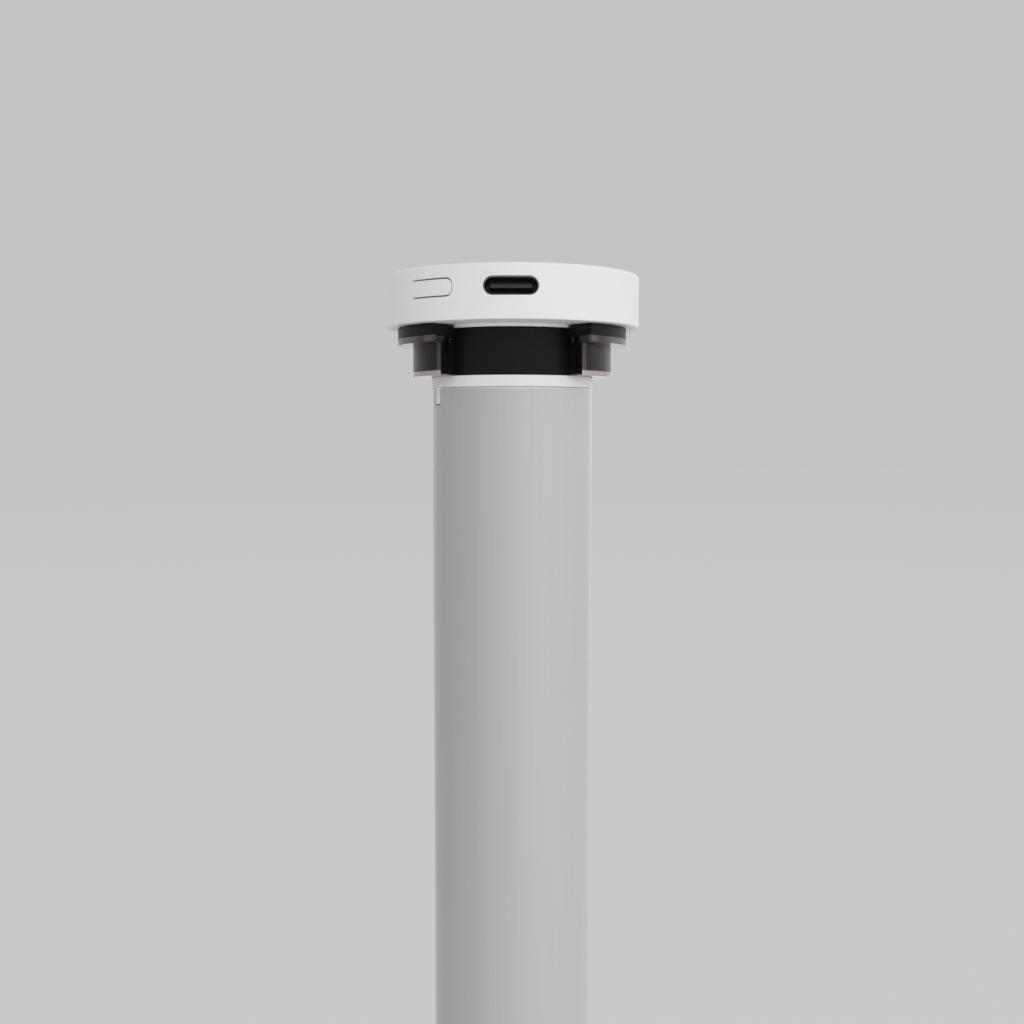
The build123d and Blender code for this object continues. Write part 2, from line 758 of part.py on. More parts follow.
# Motor magnets: two curved magnets inside the can.
magnet_thickness = 1.4
magnet_inner_radius = motor_radius - can_wall - magnet_thickness
magnet_overhang = 2.0
magnet_half_angle = 68
winding_bulge_length = 3.0
bell_thickness = 3.0
commutator_length = 6.7
core_bottom = motor_front + can_wall + 2 * winding_bulge_length
bell_inside = motor_back - bell_thickness
commutator_top = bell_inside - stage_gap
commutator_foot = commutator_top - commutator_length
core_length = commutator_foot - winding_bulge_length - core_bottom
core_middle = core_bottom + core_length / 2
magnet_length = core_length + 2 * magnet_overhang
with BuildPart() as motor_magnets:
    with BuildSketch(Plane.XY.offset(core_middle - magnet_length / 2)):
        for side in wing_angles:
            add(sector(magnet_inner_radius, motor_radius - can_wall, side, magnet_half_angle))
    extrude(amount=magnet_length)
motor_magnets.part.label = "motor_magnets"
export_step(motor_magnets.part, "parts/motor_magnets.step")

# End bell: the moulded lid at the motor's back, with a boss for the rear bush and two posts
# that guide the brushes.
commutator_radius = 3.4
brush_width = 2.6
brush_height = 3.0
brush_length = 5.0
post_width = 2.0
with BuildPart() as end_bell:
    with BuildSketch(Plane.XY.offset(bell_inside)):
        Circle(motor_radius - can_wall)
        Circle(bush_radius, mode=Mode.SUBTRACT)
    extrude(amount=bell_thickness)
    with BuildSketch(Plane.XY.offset(bell_inside)):
        with Locations(
            *[
                (side * (commutator_radius + brush_length / 2), lane * (brush_width + post_width) / 2)
                for side in (-1, 1)
                for lane in (-1, 1)
            ]
        ):
            Rectangle(brush_length - 2 * running_gap, post_width)
    extrude(amount=-(brush_height + stage_gap))
end_bell.part.label = "end_bell"
export_step(end_bell.part, "parts/end_bell.step")

# Brushes: two carbon blocks, one on each side of the commutator.
with BuildPart() as brushes:
    with BuildSketch(Plane.XY.offset(bell_inside)):
        with Locations(
            *[(side * (commutator_radius + running_clearance + brush_length / 2), 0) for side in (-1, 1)]
        ):
            Rectangle(brush_length, brush_width)
    extrude(amount=-brush_height)
brushes.part.label = "brushes"
export_step(brushes.part, "parts/brushes.step")

# Motor bushes: two sintered sleeves that the motor shaft turns in.
with BuildPart() as motor_bushes:
    with BuildSketch(Plane.XY.offset(bell_inside)):
        Circle(bush_radius)
        Circle(shaft_radius + running_clearance, mode=Mode.SUBTRACT)
    extrude(amount=bush_length)
    with BuildSketch(Plane.XY.offset(motor_front - nose_length)):
        Circle(bush_radius)
        Circle(shaft_radius + running_clearance, mode=Mode.SUBTRACT)
    extrude(amount=bush_length)
motor_bushes.part.label = "motor_bushes"
export_step(motor_bushes.part, "parts/motor_bushes.step")

# Motor shaft: runs from the magnet behind the end bell to the pinion in the first gear stage.
magnet_foot = motor_back + stage_gap
magnet_top = skirt_end - sensor_chip_height - stage_gap
shaft_tip = gear_top - stage_gap - gear_width
with BuildPart() as motor_shaft:
    with BuildSketch(Plane.XY.offset(shaft_tip)):
        Circle(shaft_radius)
    extrude(amount=magnet_top - shaft_tip)
motor_shaft.part.label = "motor_shaft"
export_step(motor_shaft.part, "parts/motor_shaft.step")

encoder_radius = 4.5
with BuildPart() as encoder_magnet:
    with BuildSketch(Plane.XY.offset(magnet_foot)):
        Circle(encoder_radius)
        Circle(shaft_radius, mode=Mode.SUBTRACT)
    extrude(amount=magnet_top - magnet_foot)
encoder_magnet.part.label = "encoder_magnet"
export_step(encoder_magnet.part, "parts/encoder_magnet.step")

# Rotor core: a stack of iron with five T-shaped poles.
pole_count = 5
pole_neck_width = 2.4
pole_hub_radius = 3.6
pole_gap = 0.4
pole_radius = magnet_inner_radius - pole_gap
pole_lip_thickness = 1.2
pole_half_angle = 30
with BuildPart() as rotor_core:
    with BuildSketch(Plane.XY.offset(core_bottom)):
        Circle(pole_hub_radius)
        for number in range(pole_count):
            pole_angle = number * 360 / pole_count
            add(sector(pole_radius - pole_lip_thickness, pole_radius, pole_angle, pole_half_angle))
        with PolarLocations(pole_radius / 2, pole_count):
            Rectangle(pole_radius - pole_lip_thickness / 2, pole_neck_width)
        Circle(shaft_radius, mode=Mode.SUBTRACT)
    extrude(amount=core_length)
rotor_core.part.label = "rotor_core"
export_step(rotor_core.part, "parts/rotor_core.step")

# Windings: copper that fills the slots between the poles and bulges past both ends.
with BuildPart() as windings:
    for foot in (core_bottom - winding_bulge_length, core_bottom + core_length):
        with BuildSketch(Plane.XY.offset(foot)):
            Circle(pole_radius - pole_lip_thickness)
            Circle(pole_hub_radius, mode=Mode.SUBTRACT)
        extrude(amount=winding_bulge_length)
    with BuildSketch(Plane.XY.offset(core_bottom)):
        Circle(pole_radius - pole_lip_thickness)
        Circle(pole_hub_radius, mode=Mode.SUBTRACT)
        with PolarLocations(pole_radius / 2, pole_count):
            Rectangle(pole_radius, pole_neck_width, mode=Mode.SUBTRACT)
    extrude(amount=core_length)
windings.part.label = "windings"
export_step(windings.part, "parts/windings.step")

# Commutator: the copper barrel that the brushes touch, slit into five bars.
commutator_slit_width = 0.4
commutator_depth = 0.8
with BuildPart() as commutator:
    with BuildSketch(Plane.XY.offset(commutator_foot)):
        Circle(commutator_radius)
        Circle(shaft_radius, mode=Mode.SUBTRACT)
        with PolarLocations(commutator_radius, pole_count):
            Rectangle(2 * commutator_depth, commutator_slit_width, mode=Mode.SUBTRACT)
    extrude(amount=commutator_length)
commutator.part.label = "commutator"
export_step(commutator.part, "parts/commutator.step")

# Gear train: three planetary stages, one behind another, in one housing whose ring teeth run
# its whole length. The teeth have involute flanks, thinned a little for backlash_gap.
pressure_angle = radians(20)
backlash_gap = 0.06
orbit_radius = gear_module * (sun_teeth + planet_teeth) / 2
pin_radius = 1.0
carrier_radius = gear_module * ring_teeth / 2 - gear_module - stage_gap


def involute(angle):
    """Angle that an involute has turned through where its pressure angle is this."""
    return tan(angle) - angle


def gear_face(teeth, inner, outer, thinning):
    """Face of a gear: each flank runs through three radii, with half the tooth's angle there
    worked out from the involute of the base circle."""
    pitch = gear_module * teeth / 2
    base = pitch * cos(pressure_angle)
    thick = pi / (2 * teeth) - thinning / (2 * pitch) + involute(pressure_angle)
    flank = [(level, thick - involute(acos(min(1, base / level)))) for level in (inner, pitch, outer)]
    outline = []
    for tooth in range(teeth):
        middle = 2 * pi * tooth / teeth
        rising = [(level, middle - half) for level, half in flank]
        falling = [(level, middle + half) for level, half in reversed(flank)]
        outline += [(level * cos(angle), level * sin(angle)) for level, angle in rising + falling]
    with BuildSketch() as face:
        with BuildLine():
            Polyline(*outline, close=True)
        make_face()
    return face.sketch


def outer_gear(teeth):
    """Face of a sun or planet gear."""
    pitch = gear_module * teeth / 2
    root = pitch - dedendum_share * gear_module
    return gear_face(teeth, root, pitch + addendum_share * gear_module, backlash_gap)


def stage_top(stage):
    """Height of the upper face of one stage's gears, counted from the motor."""
    return gear_top - stage_gap - stage * stage_pitch


# Motor pinion: the steel sun gear of the first stage, pressed on the motor shaft.
with BuildPart() as motor_pinion:
    with BuildSketch(Plane.XY.offset(stage_top(0) - gear_width)):
        add(outer_gear(sun_teeth))
        Circle(shaft_radius, mode=Mode.SUBTRACT)
    extrude(amount=gear_width)
motor_pinion.part.label = "motor_pinion"
export_step(motor_pinion.part, "parts/motor_pinion.step")

# Planets: three to a stage, each turning on a pin of its carrier.
for stage in range(stage_count):
    for number in range(planet_count):
        direction = radians(360 * number / planet_count)
        spoke = Vector(cos(direction), sin(direction), 0)
        place = Plane(
            origin=spoke * orbit_radius + Vector(0, 0, stage_top(stage) - gear_width),
            x_dir=spoke,
            z_dir=(0, 0, 1),
        )
        with BuildPart() as planet:
            with BuildSketch(place):
                add(outer_gear(planet_teeth))
                Circle(pin_radius + running_clearance, mode=Mode.SUBTRACT)
            extrude(amount=gear_width)
        planet.part.label = f"planet_{stage + 1}_{number + 1}"
        export_step(planet.part, f"parts/planet_{stage + 1}_{number + 1}.step")

# Carriers of the first two stages: a disc with three pins above it and the next sun gear below.
for stage in range(stage_count - 1):
    disc_top = stage_top(stage) - gear_width - stage_gap
    with BuildPart() as gear_carrier:
        with BuildSketch(Plane.XY.offset(disc_top)):
            Circle(carrier_radius)
        extrude(amount=-carrier_thickness)
        with BuildSketch(Plane.XY.offset(disc_top)):
            with PolarLocations(orbit_radius, planet_count):
                Circle(pin_radius)
        extrude(amount=gear_width + stage_gap)
        with BuildSketch(Plane.XY.offset(disc_top - carrier_thickness)):
            add(outer_gear(sun_teeth))
        extrude(amount=-(gear_width + stage_gap))
    gear_carrier.part.label = f"gear_carrier_{stage + 1}"
    export_step(gear_carrier.part, f"parts/gear_carrier_{stage + 1}.step")

# Output shaft: the carrier of the last stage in one piece with the shaft that leaves the motor.
# It is round in its bush and milled to a hexagon in the drive wheel, with a groove for its clip.
output_radius = 4.0
hex_width = 6.8
clip_thickness = 0.8
clip_gap = 0.1
clip_groove_radius = 2.8
shaft_end_length = 2.0
last_disc_top = stage_top(stage_count - 1) - gear_width - stage_gap
clip_top = wheel_bottom - clip_gap
shaft_foot = clip_top - clip_thickness - clip_gap - shaft_end_length
with BuildPart() as output_shaft:
    with BuildSketch(Plane.XY.offset(last_disc_top)):
        Circle(carrier_radius)
    extrude(amount=-carrier_thickness)
    with BuildSketch(Plane.XY.offset(last_disc_top)):
        with PolarLocations(orbit_radius, planet_count):
            Circle(pin_radius)
    extrude(amount=gear_width + stage_gap)
    with BuildSketch(Plane.XY.offset(last_disc_top - carrier_thickness)):
        Circle(output_radius)
    extrude(amount=wheel_top - last_disc_top + carrier_thickness)
    with BuildSketch(Plane.XY.offset(wheel_top)):
        RegularPolygon(hex_width / 2, 6, major_radius=False)
    extrude(amount=shaft_foot - wheel_top)
    chamfer(output_shaft.edges().group_by(Axis.Z)[0], lead_in_width)
    with BuildSketch(Plane.XY.offset(clip_top + clip_gap)):
        Circle(output_radius + overrun)
        Circle(clip_groove_radius, mode=Mode.SUBTRACT)
    extrude(amount=-(clip_thickness + 2 * clip_gap), mode=Mode.SUBTRACT)
output_shaft.part.label = "output_shaft"
export_step(output_shaft.part, "parts/output_shaft.step")

# Motor plate: the metal flange between the motor and the gear housing, and its two screws into
# the motor's face.
plate_screw_offset = 8.5
plate_screw_count = 2
plate_screw_length = 4.0
plate_screw_head_height = 1.2
with BuildPart() as motor_plate:
    with BuildSketch(Plane.XY.offset(gear_top)):
        Circle(inside_radius)
        Circle(nose_radius + push_clearance, mode=Mode.SUBTRACT)
    extrude(amount=plate_thickness)
    with BuildSketch(Plane.XY.offset(gear_top)):
        with PolarLocations(plate_screw_offset, plate_screw_count):
            Circle(screw_head_radius + push_clearance)
    extrude(amount=plate_screw_head_height + push_clearance, mode=Mode.SUBTRACT)
    with BuildSketch(Plane.XY.offset(gear_top)):
        with PolarLocations(plate_screw_offset, plate_screw_count):
            Circle(screw_radius + push_clearance)
    extrude(amount=plate_thickness, mode=Mode.SUBTRACT)
motor_plate.part.label = "motor_plate"
export_step(motor_plate.part, "parts/motor_plate.step")

# Gear housing: the moulded barrel with the ring teeth inside.
ring_pitch = gear_module * ring_teeth / 2
with BuildPart() as gear_housing:
    with BuildSketch(Plane.XY.offset(gear_bottom)):
        Circle(inside_radius)
        add(
            gear_face(
                ring_teeth,
                ring_pitch - addendum_share * gear_module,
                ring_pitch + dedendum_share * gear_module,
                -backlash_gap,
            ),
            mode=Mode.SUBTRACT,
        )
    extrude(amount=gear_top - gear_bottom)
gear_housing.part.label = "gear_housing"
export_step(gear_housing.part, "parts/gear_housing.step")

# Front isolator: a rubber ring between the gear housing and the end plug.
pad_window_radius = 8.0
with BuildPart() as front_isolator:
    with BuildSketch(Plane.XY.offset(plug_top)):
        Circle(inside_radius)
        Circle(pad_window_radius, mode=Mode.SUBTRACT)
    extrude(amount=pad_thickness)
front_isolator.part.label = "front_isolator"
export_step(front_isolator.part, "parts/front_isolator.step")

# End plug: closes the bottom of the tube, covers its edge with a flange and holds the bush.
output_bush_radius = 6.0
output_bush_flange_radius = 7.2
output_bush_flange_thickness = 1.0
with BuildPart() as end_plug:
    with BuildSketch(Plane.XY.offset(tube_bottom - plug_flange_thickness)):
        Circle(tube_radius)
    extrude(amount=plug_flange_thickness)
    with BuildSketch(Plane.XY.offset(tube_bottom)):
        Circle(inside_radius)
    extrude(amount=plug_length)
    with BuildSketch(Plane.XY.offset(plug_top)):
        Circle(output_bush_radius)
    extrude(amount=-(plug_length + plug_flange_thickness), mode=Mode.SUBTRACT)
    with BuildSketch(Plane.XY.offset(plug_top)):
        Circle(output_bush_flange_radius)
    extrude(amount=-output_bush_flange_thickness, mode=Mode.SUBTRACT)
    for angle in plug_screw_angles:
        with BuildSketch(radial_plane(angle, inside_radius, plug_screw_z)):
            Circle(screw_radius + push_clearance)
        extrude(amount=-pilot_depth, mode=Mode.SUBTRACT)
end_plug.part.label = "end_plug"
export_step(end_plug.part, "parts/end_plug.step")

# Output bush: the flanged bronze sleeve that the output shaft turns in.
with BuildPart() as output_bush:
    with BuildSketch(Plane.XY.offset(plug_top)):
        Circle(output_bush_radius)
    extrude(amount=-(plug_length + plug_flange_thickness))
    with BuildSketch(Plane.XY.offset(plug_top)):
        Circle(output_bush_flange_radius)
    extrude(amount=-output_bush_flange_thickness)
    with BuildSketch(Plane.XY.offset(plug_top)):
        Circle(output_radius + running_clearance)
    extrude(amount=-(plug_length + plug_flange_thickness), mode=Mode.SUBTRACT)
output_bush.part.label = "output_bush"
export_step(output_bush.part, "parts/output_bush.step")

# Drive wheel: turns the lower end of the roller tube. A hub with a hexagonal bore, ribs and a
# rim, with the same stepped lugs as the crown so that both ends fit one roller tube.
hub_radius = 6.4
wheel_rim_wall = 1.8
wheel_web_thickness = 2.0
wheel_rib_thickness = 1.6
wheel_rib_count = 6
wheel_chamfer = 0.6
with BuildPart() as drive_wheel:
    with BuildSketch(Plane.XY.offset(wheel_bottom)):
        Circle(core_radius)
        Circle(core_radius - wheel_rim_wall, mode=Mode.SUBTRACT)
        Circle(hub_radius)
        with PolarLocations((hub_radius + core_radius - wheel_rim_wall) / 2, wheel_rib_count):
            Rectangle(core_radius - wheel_rim_wall - hub_radius + wheel_rib_thickness, wheel_rib_thickness)
        for side in wing_angles:
            add(sector(core_radius - damper_wall, lug_step_radius, side, shoe_half_angle))
    extrude(amount=wheel_length)
    with BuildSketch(Plane.XY.offset(wheel_bottom + (wheel_length - wheel_web_thickness) / 2)):
        Circle(core_radius - wheel_rim_wall / 2)
    extrude(amount=wheel_web_thickness)
    with BuildSketch(Plane.XY.offset(wheel_top)):
        for side in wing_angles:
            add(sector(core_radius - damper_wall, lug_radius, side, lug_half_angle))
    extrude(amount=-(wheel_length - lug_foot_height))
    with BuildSketch(Plane.XY.offset(wheel_bottom)):
        RegularPolygon(hex_width / 2 + push_clearance, 6, major_radius=False)
    extrude(amount=wheel_length, mode=Mode.SUBTRACT)
drive_wheel.part.label = "drive_wheel"
export_step(drive_wheel.part, "parts/drive_wheel.step")

# Wheel dampers: the clear soft shoes over the drive wheel's lugs.
for side, name in zip(wing_angles, ("right", "left")):
    with BuildPart() as wheel_damper:
        with BuildSketch(Plane.XY.offset(wheel_top)):
            add(sector(lug_step_radius, seat_radius, side, shoe_half_angle))
        extrude(amount=-wheel_length)
        chamfer(
            wheel_damper.edges().filter_by(GeomType.CIRCLE).group_by(Axis.Z)[0].sort_by(
                SortBy.RADIUS
            )[-1],
            wheel_chamfer,
        )
        with BuildSketch(Plane.XY.offset(wheel_top)):
            add(sector(lug_step_radius - overrun, lug_radius, side, lug_half_angle))
        extrude(amount=-(wheel_length - lug_foot_height), mode=Mode.SUBTRACT)
    wheel_damper.part.label = f"wheel_damper_{name}"
    export_step(wheel_damper.part, f"parts/wheel_damper_{name}.step")

# Retaining clip: the spring-steel E-clip that keeps the drive wheel on the shaft.
clip_radius = 5.6
clip_mouth_width = 4.4
with BuildPart() as retaining_clip:
    with BuildSketch(Plane.XY.offset(clip_top)):
        Circle(clip_radius)
        Circle(clip_groove_radius, mode=Mode.SUBTRACT)
        with Locations((clip_radius, 0)):
            Rectangle(2 * clip_radius, clip_mouth_width, mode=Mode.SUBTRACT)
    extrude(amount=-clip_thickness)
retaining_clip.part.label = "retaining_clip"
export_step(retaining_clip.part, "parts/retaining_clip.step")
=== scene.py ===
import bmesh
import bpy
import numpy as np
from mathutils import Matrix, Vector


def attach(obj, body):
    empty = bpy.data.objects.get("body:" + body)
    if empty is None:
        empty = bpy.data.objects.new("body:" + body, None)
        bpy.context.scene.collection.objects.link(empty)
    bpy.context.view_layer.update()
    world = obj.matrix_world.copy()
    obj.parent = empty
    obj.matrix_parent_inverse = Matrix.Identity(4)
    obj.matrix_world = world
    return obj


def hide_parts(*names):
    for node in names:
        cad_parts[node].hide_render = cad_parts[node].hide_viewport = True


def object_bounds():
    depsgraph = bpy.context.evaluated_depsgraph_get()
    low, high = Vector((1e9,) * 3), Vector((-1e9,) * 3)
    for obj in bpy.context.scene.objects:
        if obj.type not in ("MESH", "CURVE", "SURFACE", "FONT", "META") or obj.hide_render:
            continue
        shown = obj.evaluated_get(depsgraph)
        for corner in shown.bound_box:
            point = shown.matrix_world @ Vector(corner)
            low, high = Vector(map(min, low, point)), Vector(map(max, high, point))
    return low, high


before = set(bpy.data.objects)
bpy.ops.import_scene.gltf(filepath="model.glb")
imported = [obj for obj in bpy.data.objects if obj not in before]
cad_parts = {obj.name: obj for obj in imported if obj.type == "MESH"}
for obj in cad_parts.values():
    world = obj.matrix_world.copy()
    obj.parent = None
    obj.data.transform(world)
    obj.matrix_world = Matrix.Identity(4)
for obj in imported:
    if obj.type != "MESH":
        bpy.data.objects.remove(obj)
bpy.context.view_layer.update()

# Head shell: the white cup on top of the motor, with a straight rim and a shallow boss ring
# under its floor. It is moulded in one shot of satin ABS, and its rim is pierced for the charge
# port and for the slot that frees the button's tongue.
mm = 0.001
head_radius = 22.0
head_inside = 20.4
head_bottom = -8.8
floor_top = -7.4
boss_bottom = -9.3
boss_radius = 14.3
neck_radius = 11.25
cover_seat = 21.2
ledge = -1.4
rim_round = 0.4
foot_round = 0.2
small_round = 0.1
seat_round = 0.05
port_z = -3.58
port_opening = (8.78, 3.0)
port_pocket = 0.14
port_pocket_face = 21.16
port_lip = 0.03
port_angle = np.radians(-90)
port_half_turn = 0.289
button_opening = (8.15, 2.99)
button_corner = 1.2
button_lip = 0.05
button_angle = np.radians(-125.6)
button_half_turn = 0.254
post_circle = 17.6
post_radius = 1.7
post_turns = np.radians([90, 210, 330])
bracket_circle = 13.0
bracket_post_radius = 2.0
bracket_post_top = -6.16
bracket_turns = np.radians([45, 135, 225, 315])
head_turns = np.radians(np.linspace(-180, 180, 721))
outer_band = np.linspace(-0.95, -6.3, 13)
inner_band = np.linspace(-1.6, -6.0, 13)


def rounded(points, radii, steps=5, hold=0.04):
    """Line through the points whose inner corners are arcs: each arc turns about the point on
    the corner's bisector that is one radius from both sides. One point just before and just
    after each arc keeps the flat stretches flat in the light."""
    points = np.array(points, float)
    radii = np.array(radii, float)[:, None]
    back = points[:-2] - points[1:-1]
    ahead = points[2:] - points[1:-1]
    back = back / np.linalg.norm(back, axis=1, keepdims=True)
    ahead = ahead / np.linalg.norm(ahead, axis=1, keepdims=True)
    half = np.arccos(np.clip((back * ahead).sum(1, keepdims=True), -1, 1)) / 2
    start = points[1:-1] + back * radii / np.tan(half)
    end = points[1:-1] + ahead * radii / np.tan(half)
    middle = back + ahead
    middle = points[1:-1] + middle / np.linalg.norm(middle, axis=1, keepdims=True) * radii / np.sin(half)
    sweep = (np.pi - 2 * half)[:, None]
    share = np.linspace(0, 1, steps + 1)[None, :, None]
    arc = np.sin((1 - share) * sweep) * (start - middle)[:, None]
    arc = (arc + np.sin(share * sweep) * (end - middle)[:, None]) / np.sin(sweep) + middle[:, None]
    held = hold * (radii > 0)
    arc = np.concatenate([(start + back * held)[:, None], arc, (end + ahead * held)[:, None]], 1)
    return np.concatenate([points[:1], arc.reshape(-1, 2), points[-1:]])


def about_axis(radius, angle, height):
    """Points about the motor's axis: radius r at angle a lies at r cos a, r sin a."""
    return np.stack([radius * np.cos(angle), radius * np.sin(angle), height + 0 * angle], -1)


def turned(profile, angles):
    """Profile of radii and heights turned about the motor's axis."""
    profile = np.asarray(profile, float)
    return about_axis(profile[:, :1], angles, profile[:, 1:])


def loop_round(columns, rows):
    """Points once round a rectangle of columns and rows: along the first row, up the last
    column, back along the last row and down the first column to the start."""
    across = [columns, np.full(len(rows) - 2, columns[-1]), columns[::-1], np.full(len(rows) - 1, columns[0])]
    along = [np.full(len(columns), rows[0]), rows[1:-1], np.full(len(columns), rows[-1]), rows[-2::-1]]
    return np.concatenate(across), np.concatenate(along)


def on_rim(middle, across, up, radius):
    """A point of the rim seen square on: it stands `across` beside the direction `middle`, so its
    own angle is that direction plus the arc sine of across over the radius."""
    return about_axis(radius, middle + np.arcsin(across / radius), up)


def port_edge(across, up, grow):
    """Nearest point of the port's opening, grown by a little: a stadium is all points at one
    distance from a short line, so the point lies on the ray from that line's nearest point."""
    half = (port_opening[0] - port_opening[1]) / 2
    core = np.clip(across, -half, half)
    reach = np.hypot(across - core, up - port_z)
    size = port_opening[1] / 2 + grow
    return core + size * (across - core) / reach, port_z + size * (up - port_z) / reach


def button_edge(across, up, grow):
    """Nearest point of the button's opening, grown by a little: a rectangle, whose free end has
    its corners at one radius from two inner points."""
    turn = button_opening[0] / 2 - button_corner
    free = across > turn
    half = button_opening[1] / 2 - np.where(free, button_corner, 0)
    core = np.clip(across, -button_opening[0] / 2, turn)
    level = port_z + np.clip(up - port_z, -half, half)
    reach = np.maximum(np.hypot(across - core, up - level), small_round)
    grow = grow * np.clip((core + button_opening[0] / 2) / button_corner, 0, 1)
    size = np.where(free, button_corner, 0) + grow
    return core + size * (across - core) / reach, level + size * (up - level) / reach


def pierced(middle, columns, edge, lip, pocket=0, face=0):
    """Surface through a wall round one opening. Its rows run from the rectangle left out of the
    outer wall to the opening's edge, round a small lip, through the wall and out again to the
    rectangle left out of the inner wall. A pocket behind the lip starts at a flat face."""
    rows = []
    out = np.array([np.cos(middle), np.sin(middle), 0])
    beside = np.array([-np.sin(middle), np.cos(middle), 0])
    share = np.array([1, 0.7, 0.45, 0.25, 0.1, 0.03, 0])[:, None]
    bend = np.linspace(0, np.pi / 2, 5)[:, None]
    for radius, band in ((head_radius, outer_band), (head_inside, inner_band)):
        angle, up = loop_round(columns, band)
        across = radius * np.sin(angle - middle)
        grow = lip if radius == head_radius else pocket
        near, level = edge(across, up, grow)
        fan = on_rim(middle, near + share * (across - near), level + share * (up - level), radius)
        if radius == head_radius:
            rows.append(fan)
            near, level = edge(across, up, lip * (1 - np.sin(bend)))
            rows.append(on_rim(middle, near, level, radius - lip * (1 - np.cos(bend))))
            for grow in (0, pocket) if pocket else ():
                near, level = edge(across, up, grow)
                ring = near[:, None] * beside + face * out + level[:, None] * np.array([0, 0, 1])
                rows.append(ring[None])
        else:
            rows.append(fan[::-1])
    return np.concatenate(rows)


def weld(name, sheets):
    """Joins grids of points into one mesh: four neighbours in a grid are a face, unless the grid
    comes with a mask that leaves that cell open. Points that meet become one."""
    points, faces, used = [], [], 0
    for sheet in sheets:
        grid, kept = sheet if isinstance(sheet, tuple) else (sheet, True)
        index = used + np.arange(grid[..., 0].size).reshape(grid.shape[:2])
        cells = np.stack([index[:-1, :-1], index[1:, :-1], index[1:, 1:], index[:-1, 1:]], -1)
        faces.append(cells[np.broadcast_to(kept, cells.shape[:2])])
        points.append(grid.reshape(-1, 3))
        used += len(points[-1])
    used, faces = np.unique(np.concatenate(faces), return_inverse=True)
    mesh = bpy.data.meshes.new(name)
    mesh.from_pydata(np.concatenate(points)[used] * mm, [], faces.reshape(-1, 4).tolist())
    shape = bmesh.new()
    shape.from_mesh(mesh)
    bmesh.ops.remove_doubles(shape, verts=shape.verts, dist=0.001 * mm)
    bmesh.ops.recalc_face_normals(shape, faces=shape.faces)
    shape.to_mesh(mesh)
    shape.free()
    mesh.shade_smooth()
    mesh.set_sharp_from_angle(angle=np.radians(35))
    piece = bpy.data.objects.new(name, mesh)
    bpy.context.scene.collection.objects.link(piece)
    return piece


def pegs(circle, turns, radius, low, high):
    """Round posts on a circle: the profile out along the foot, up the side and in along the top,
    turned, and moved out to the circle in each of the directions."""
    profile = [(0, low), (radius, low), (radius, high), (0, high)]
    post = turned(profile, np.radians(np.linspace(0, 360, 49)))
    return [post + np.array([circle * np.cos(a), circle * np.sin(a), 0]) for a in turns]


def open_cells(angles, spans):
    """Mask of the columns that stay: all but those between the first and last angle of a span."""
    middle = (angles[1:] + angles[:-1]) / 2
    return np.all([(middle < low) | (middle > high) for low, high in spans], 0)


class Wire:
    """One socket in a finish's node tree. Sums of wires and numbers add Math nodes."""

    def __init__(self, tree, socket=None):
        self.tree = tree
        self.socket = socket

    def node(self, kind, settings, inputs, output=0):
        """Any node: its settings first, then a value or a wire for each of its inputs."""
        made = self.tree.nodes.new("ShaderNode" + kind)
        for setting, value in settings.items():
            setattr(made, setting, value)
        for entry, value in inputs.items():
            if isinstance(value, Wire):
                self.tree.links.new(value.socket, made.inputs[entry])
            else:
                made.inputs[entry].default_value = value
        return Wire(self.tree, made.outputs[output] if made.outputs else None)

    def math(self, operation, first, second):
        return self.node("Math", {"operation": operation}, {0: first, 1: second})

    def __add__(self, other):
        return self.math("ADD", self, other)

    def __sub__(self, other):
        return self.math("SUBTRACT", self, other)

    def __rsub__(self, other):
        return self.math("SUBTRACT", other, self)

    def __mul__(self, other):
        return self.math("MULTIPLY", self, other)

    __radd__ = __add__
    __rmul__ = __mul__


def begin_finish(name):
    """A new finish with an empty node tree, and the wire that its nodes are added through."""
    finish = bpy.data.materials.new(name)
    finish.use_nodes = True
    finish.node_tree.nodes.clear()
    return finish, Wire(finish.node_tree)


def grain(make, scale, detail=2, stretch=(1, 1, 1)):
    """Cloudy pattern fixed to the piece, drawn out along an axis where its stretch is small."""
    place = make.node("TexCoord", {}, {}, "Object")
    place = make.node("Mapping", {}, {"Vector": place, "Scale": stretch})
    return make.node("TexNoise", {}, {"Vector": place, "Scale": scale, "Detail": detail})


def blend_colours(make, share, first, second):
    """Colour between two: the first where the share is 0 and the second where it is 1."""
    return make.node("Mix", {"data_type": "RGBA"}, {0: share, 6: (*first, 1), 7: (*second, 1)}, 2)


def close_finish(make, height, depth, strength, inputs):
    """The surface: its colour and gloss, and a relief from a height of one depth."""
    relief = make.node("Bump", {}, {"Height": height, "Distance": depth * mm, "Strength": strength})
    surface = make.node("BsdfPrincipled", {}, {**inputs, "Normal": relief})
    make.node("OutputMaterial", {}, {"Surface": surface})


def fit(piece, finish, body, slot, *nodes):
    """Gives a piece its finish, sets it on the body it moves with and lets it stand for the
    solids it replaces."""
    piece.data.materials.append(finish)
    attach(piece, body)
    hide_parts(*nodes)


white_plastic, make = begin_finish("white_plastic")
speckle = grain(make, 5200, 3)
cloud = grain(make, 55, 3)
close_finish(make, speckle, 0.02, 0.25, {
    "Base Color": blend_colours(make, cloud, (0.845, 0.845, 0.84), (0.87, 0.87, 0.865)),
    "Roughness": 0.34 + 0.08 * cloud,
    "Specular IOR Level": 0.45,
    "Subsurface Weight": 0.08,
    "Subsurface Radius": (0.9, 0.8, 0.7),
    "Subsurface Scale": 0.0006,
})

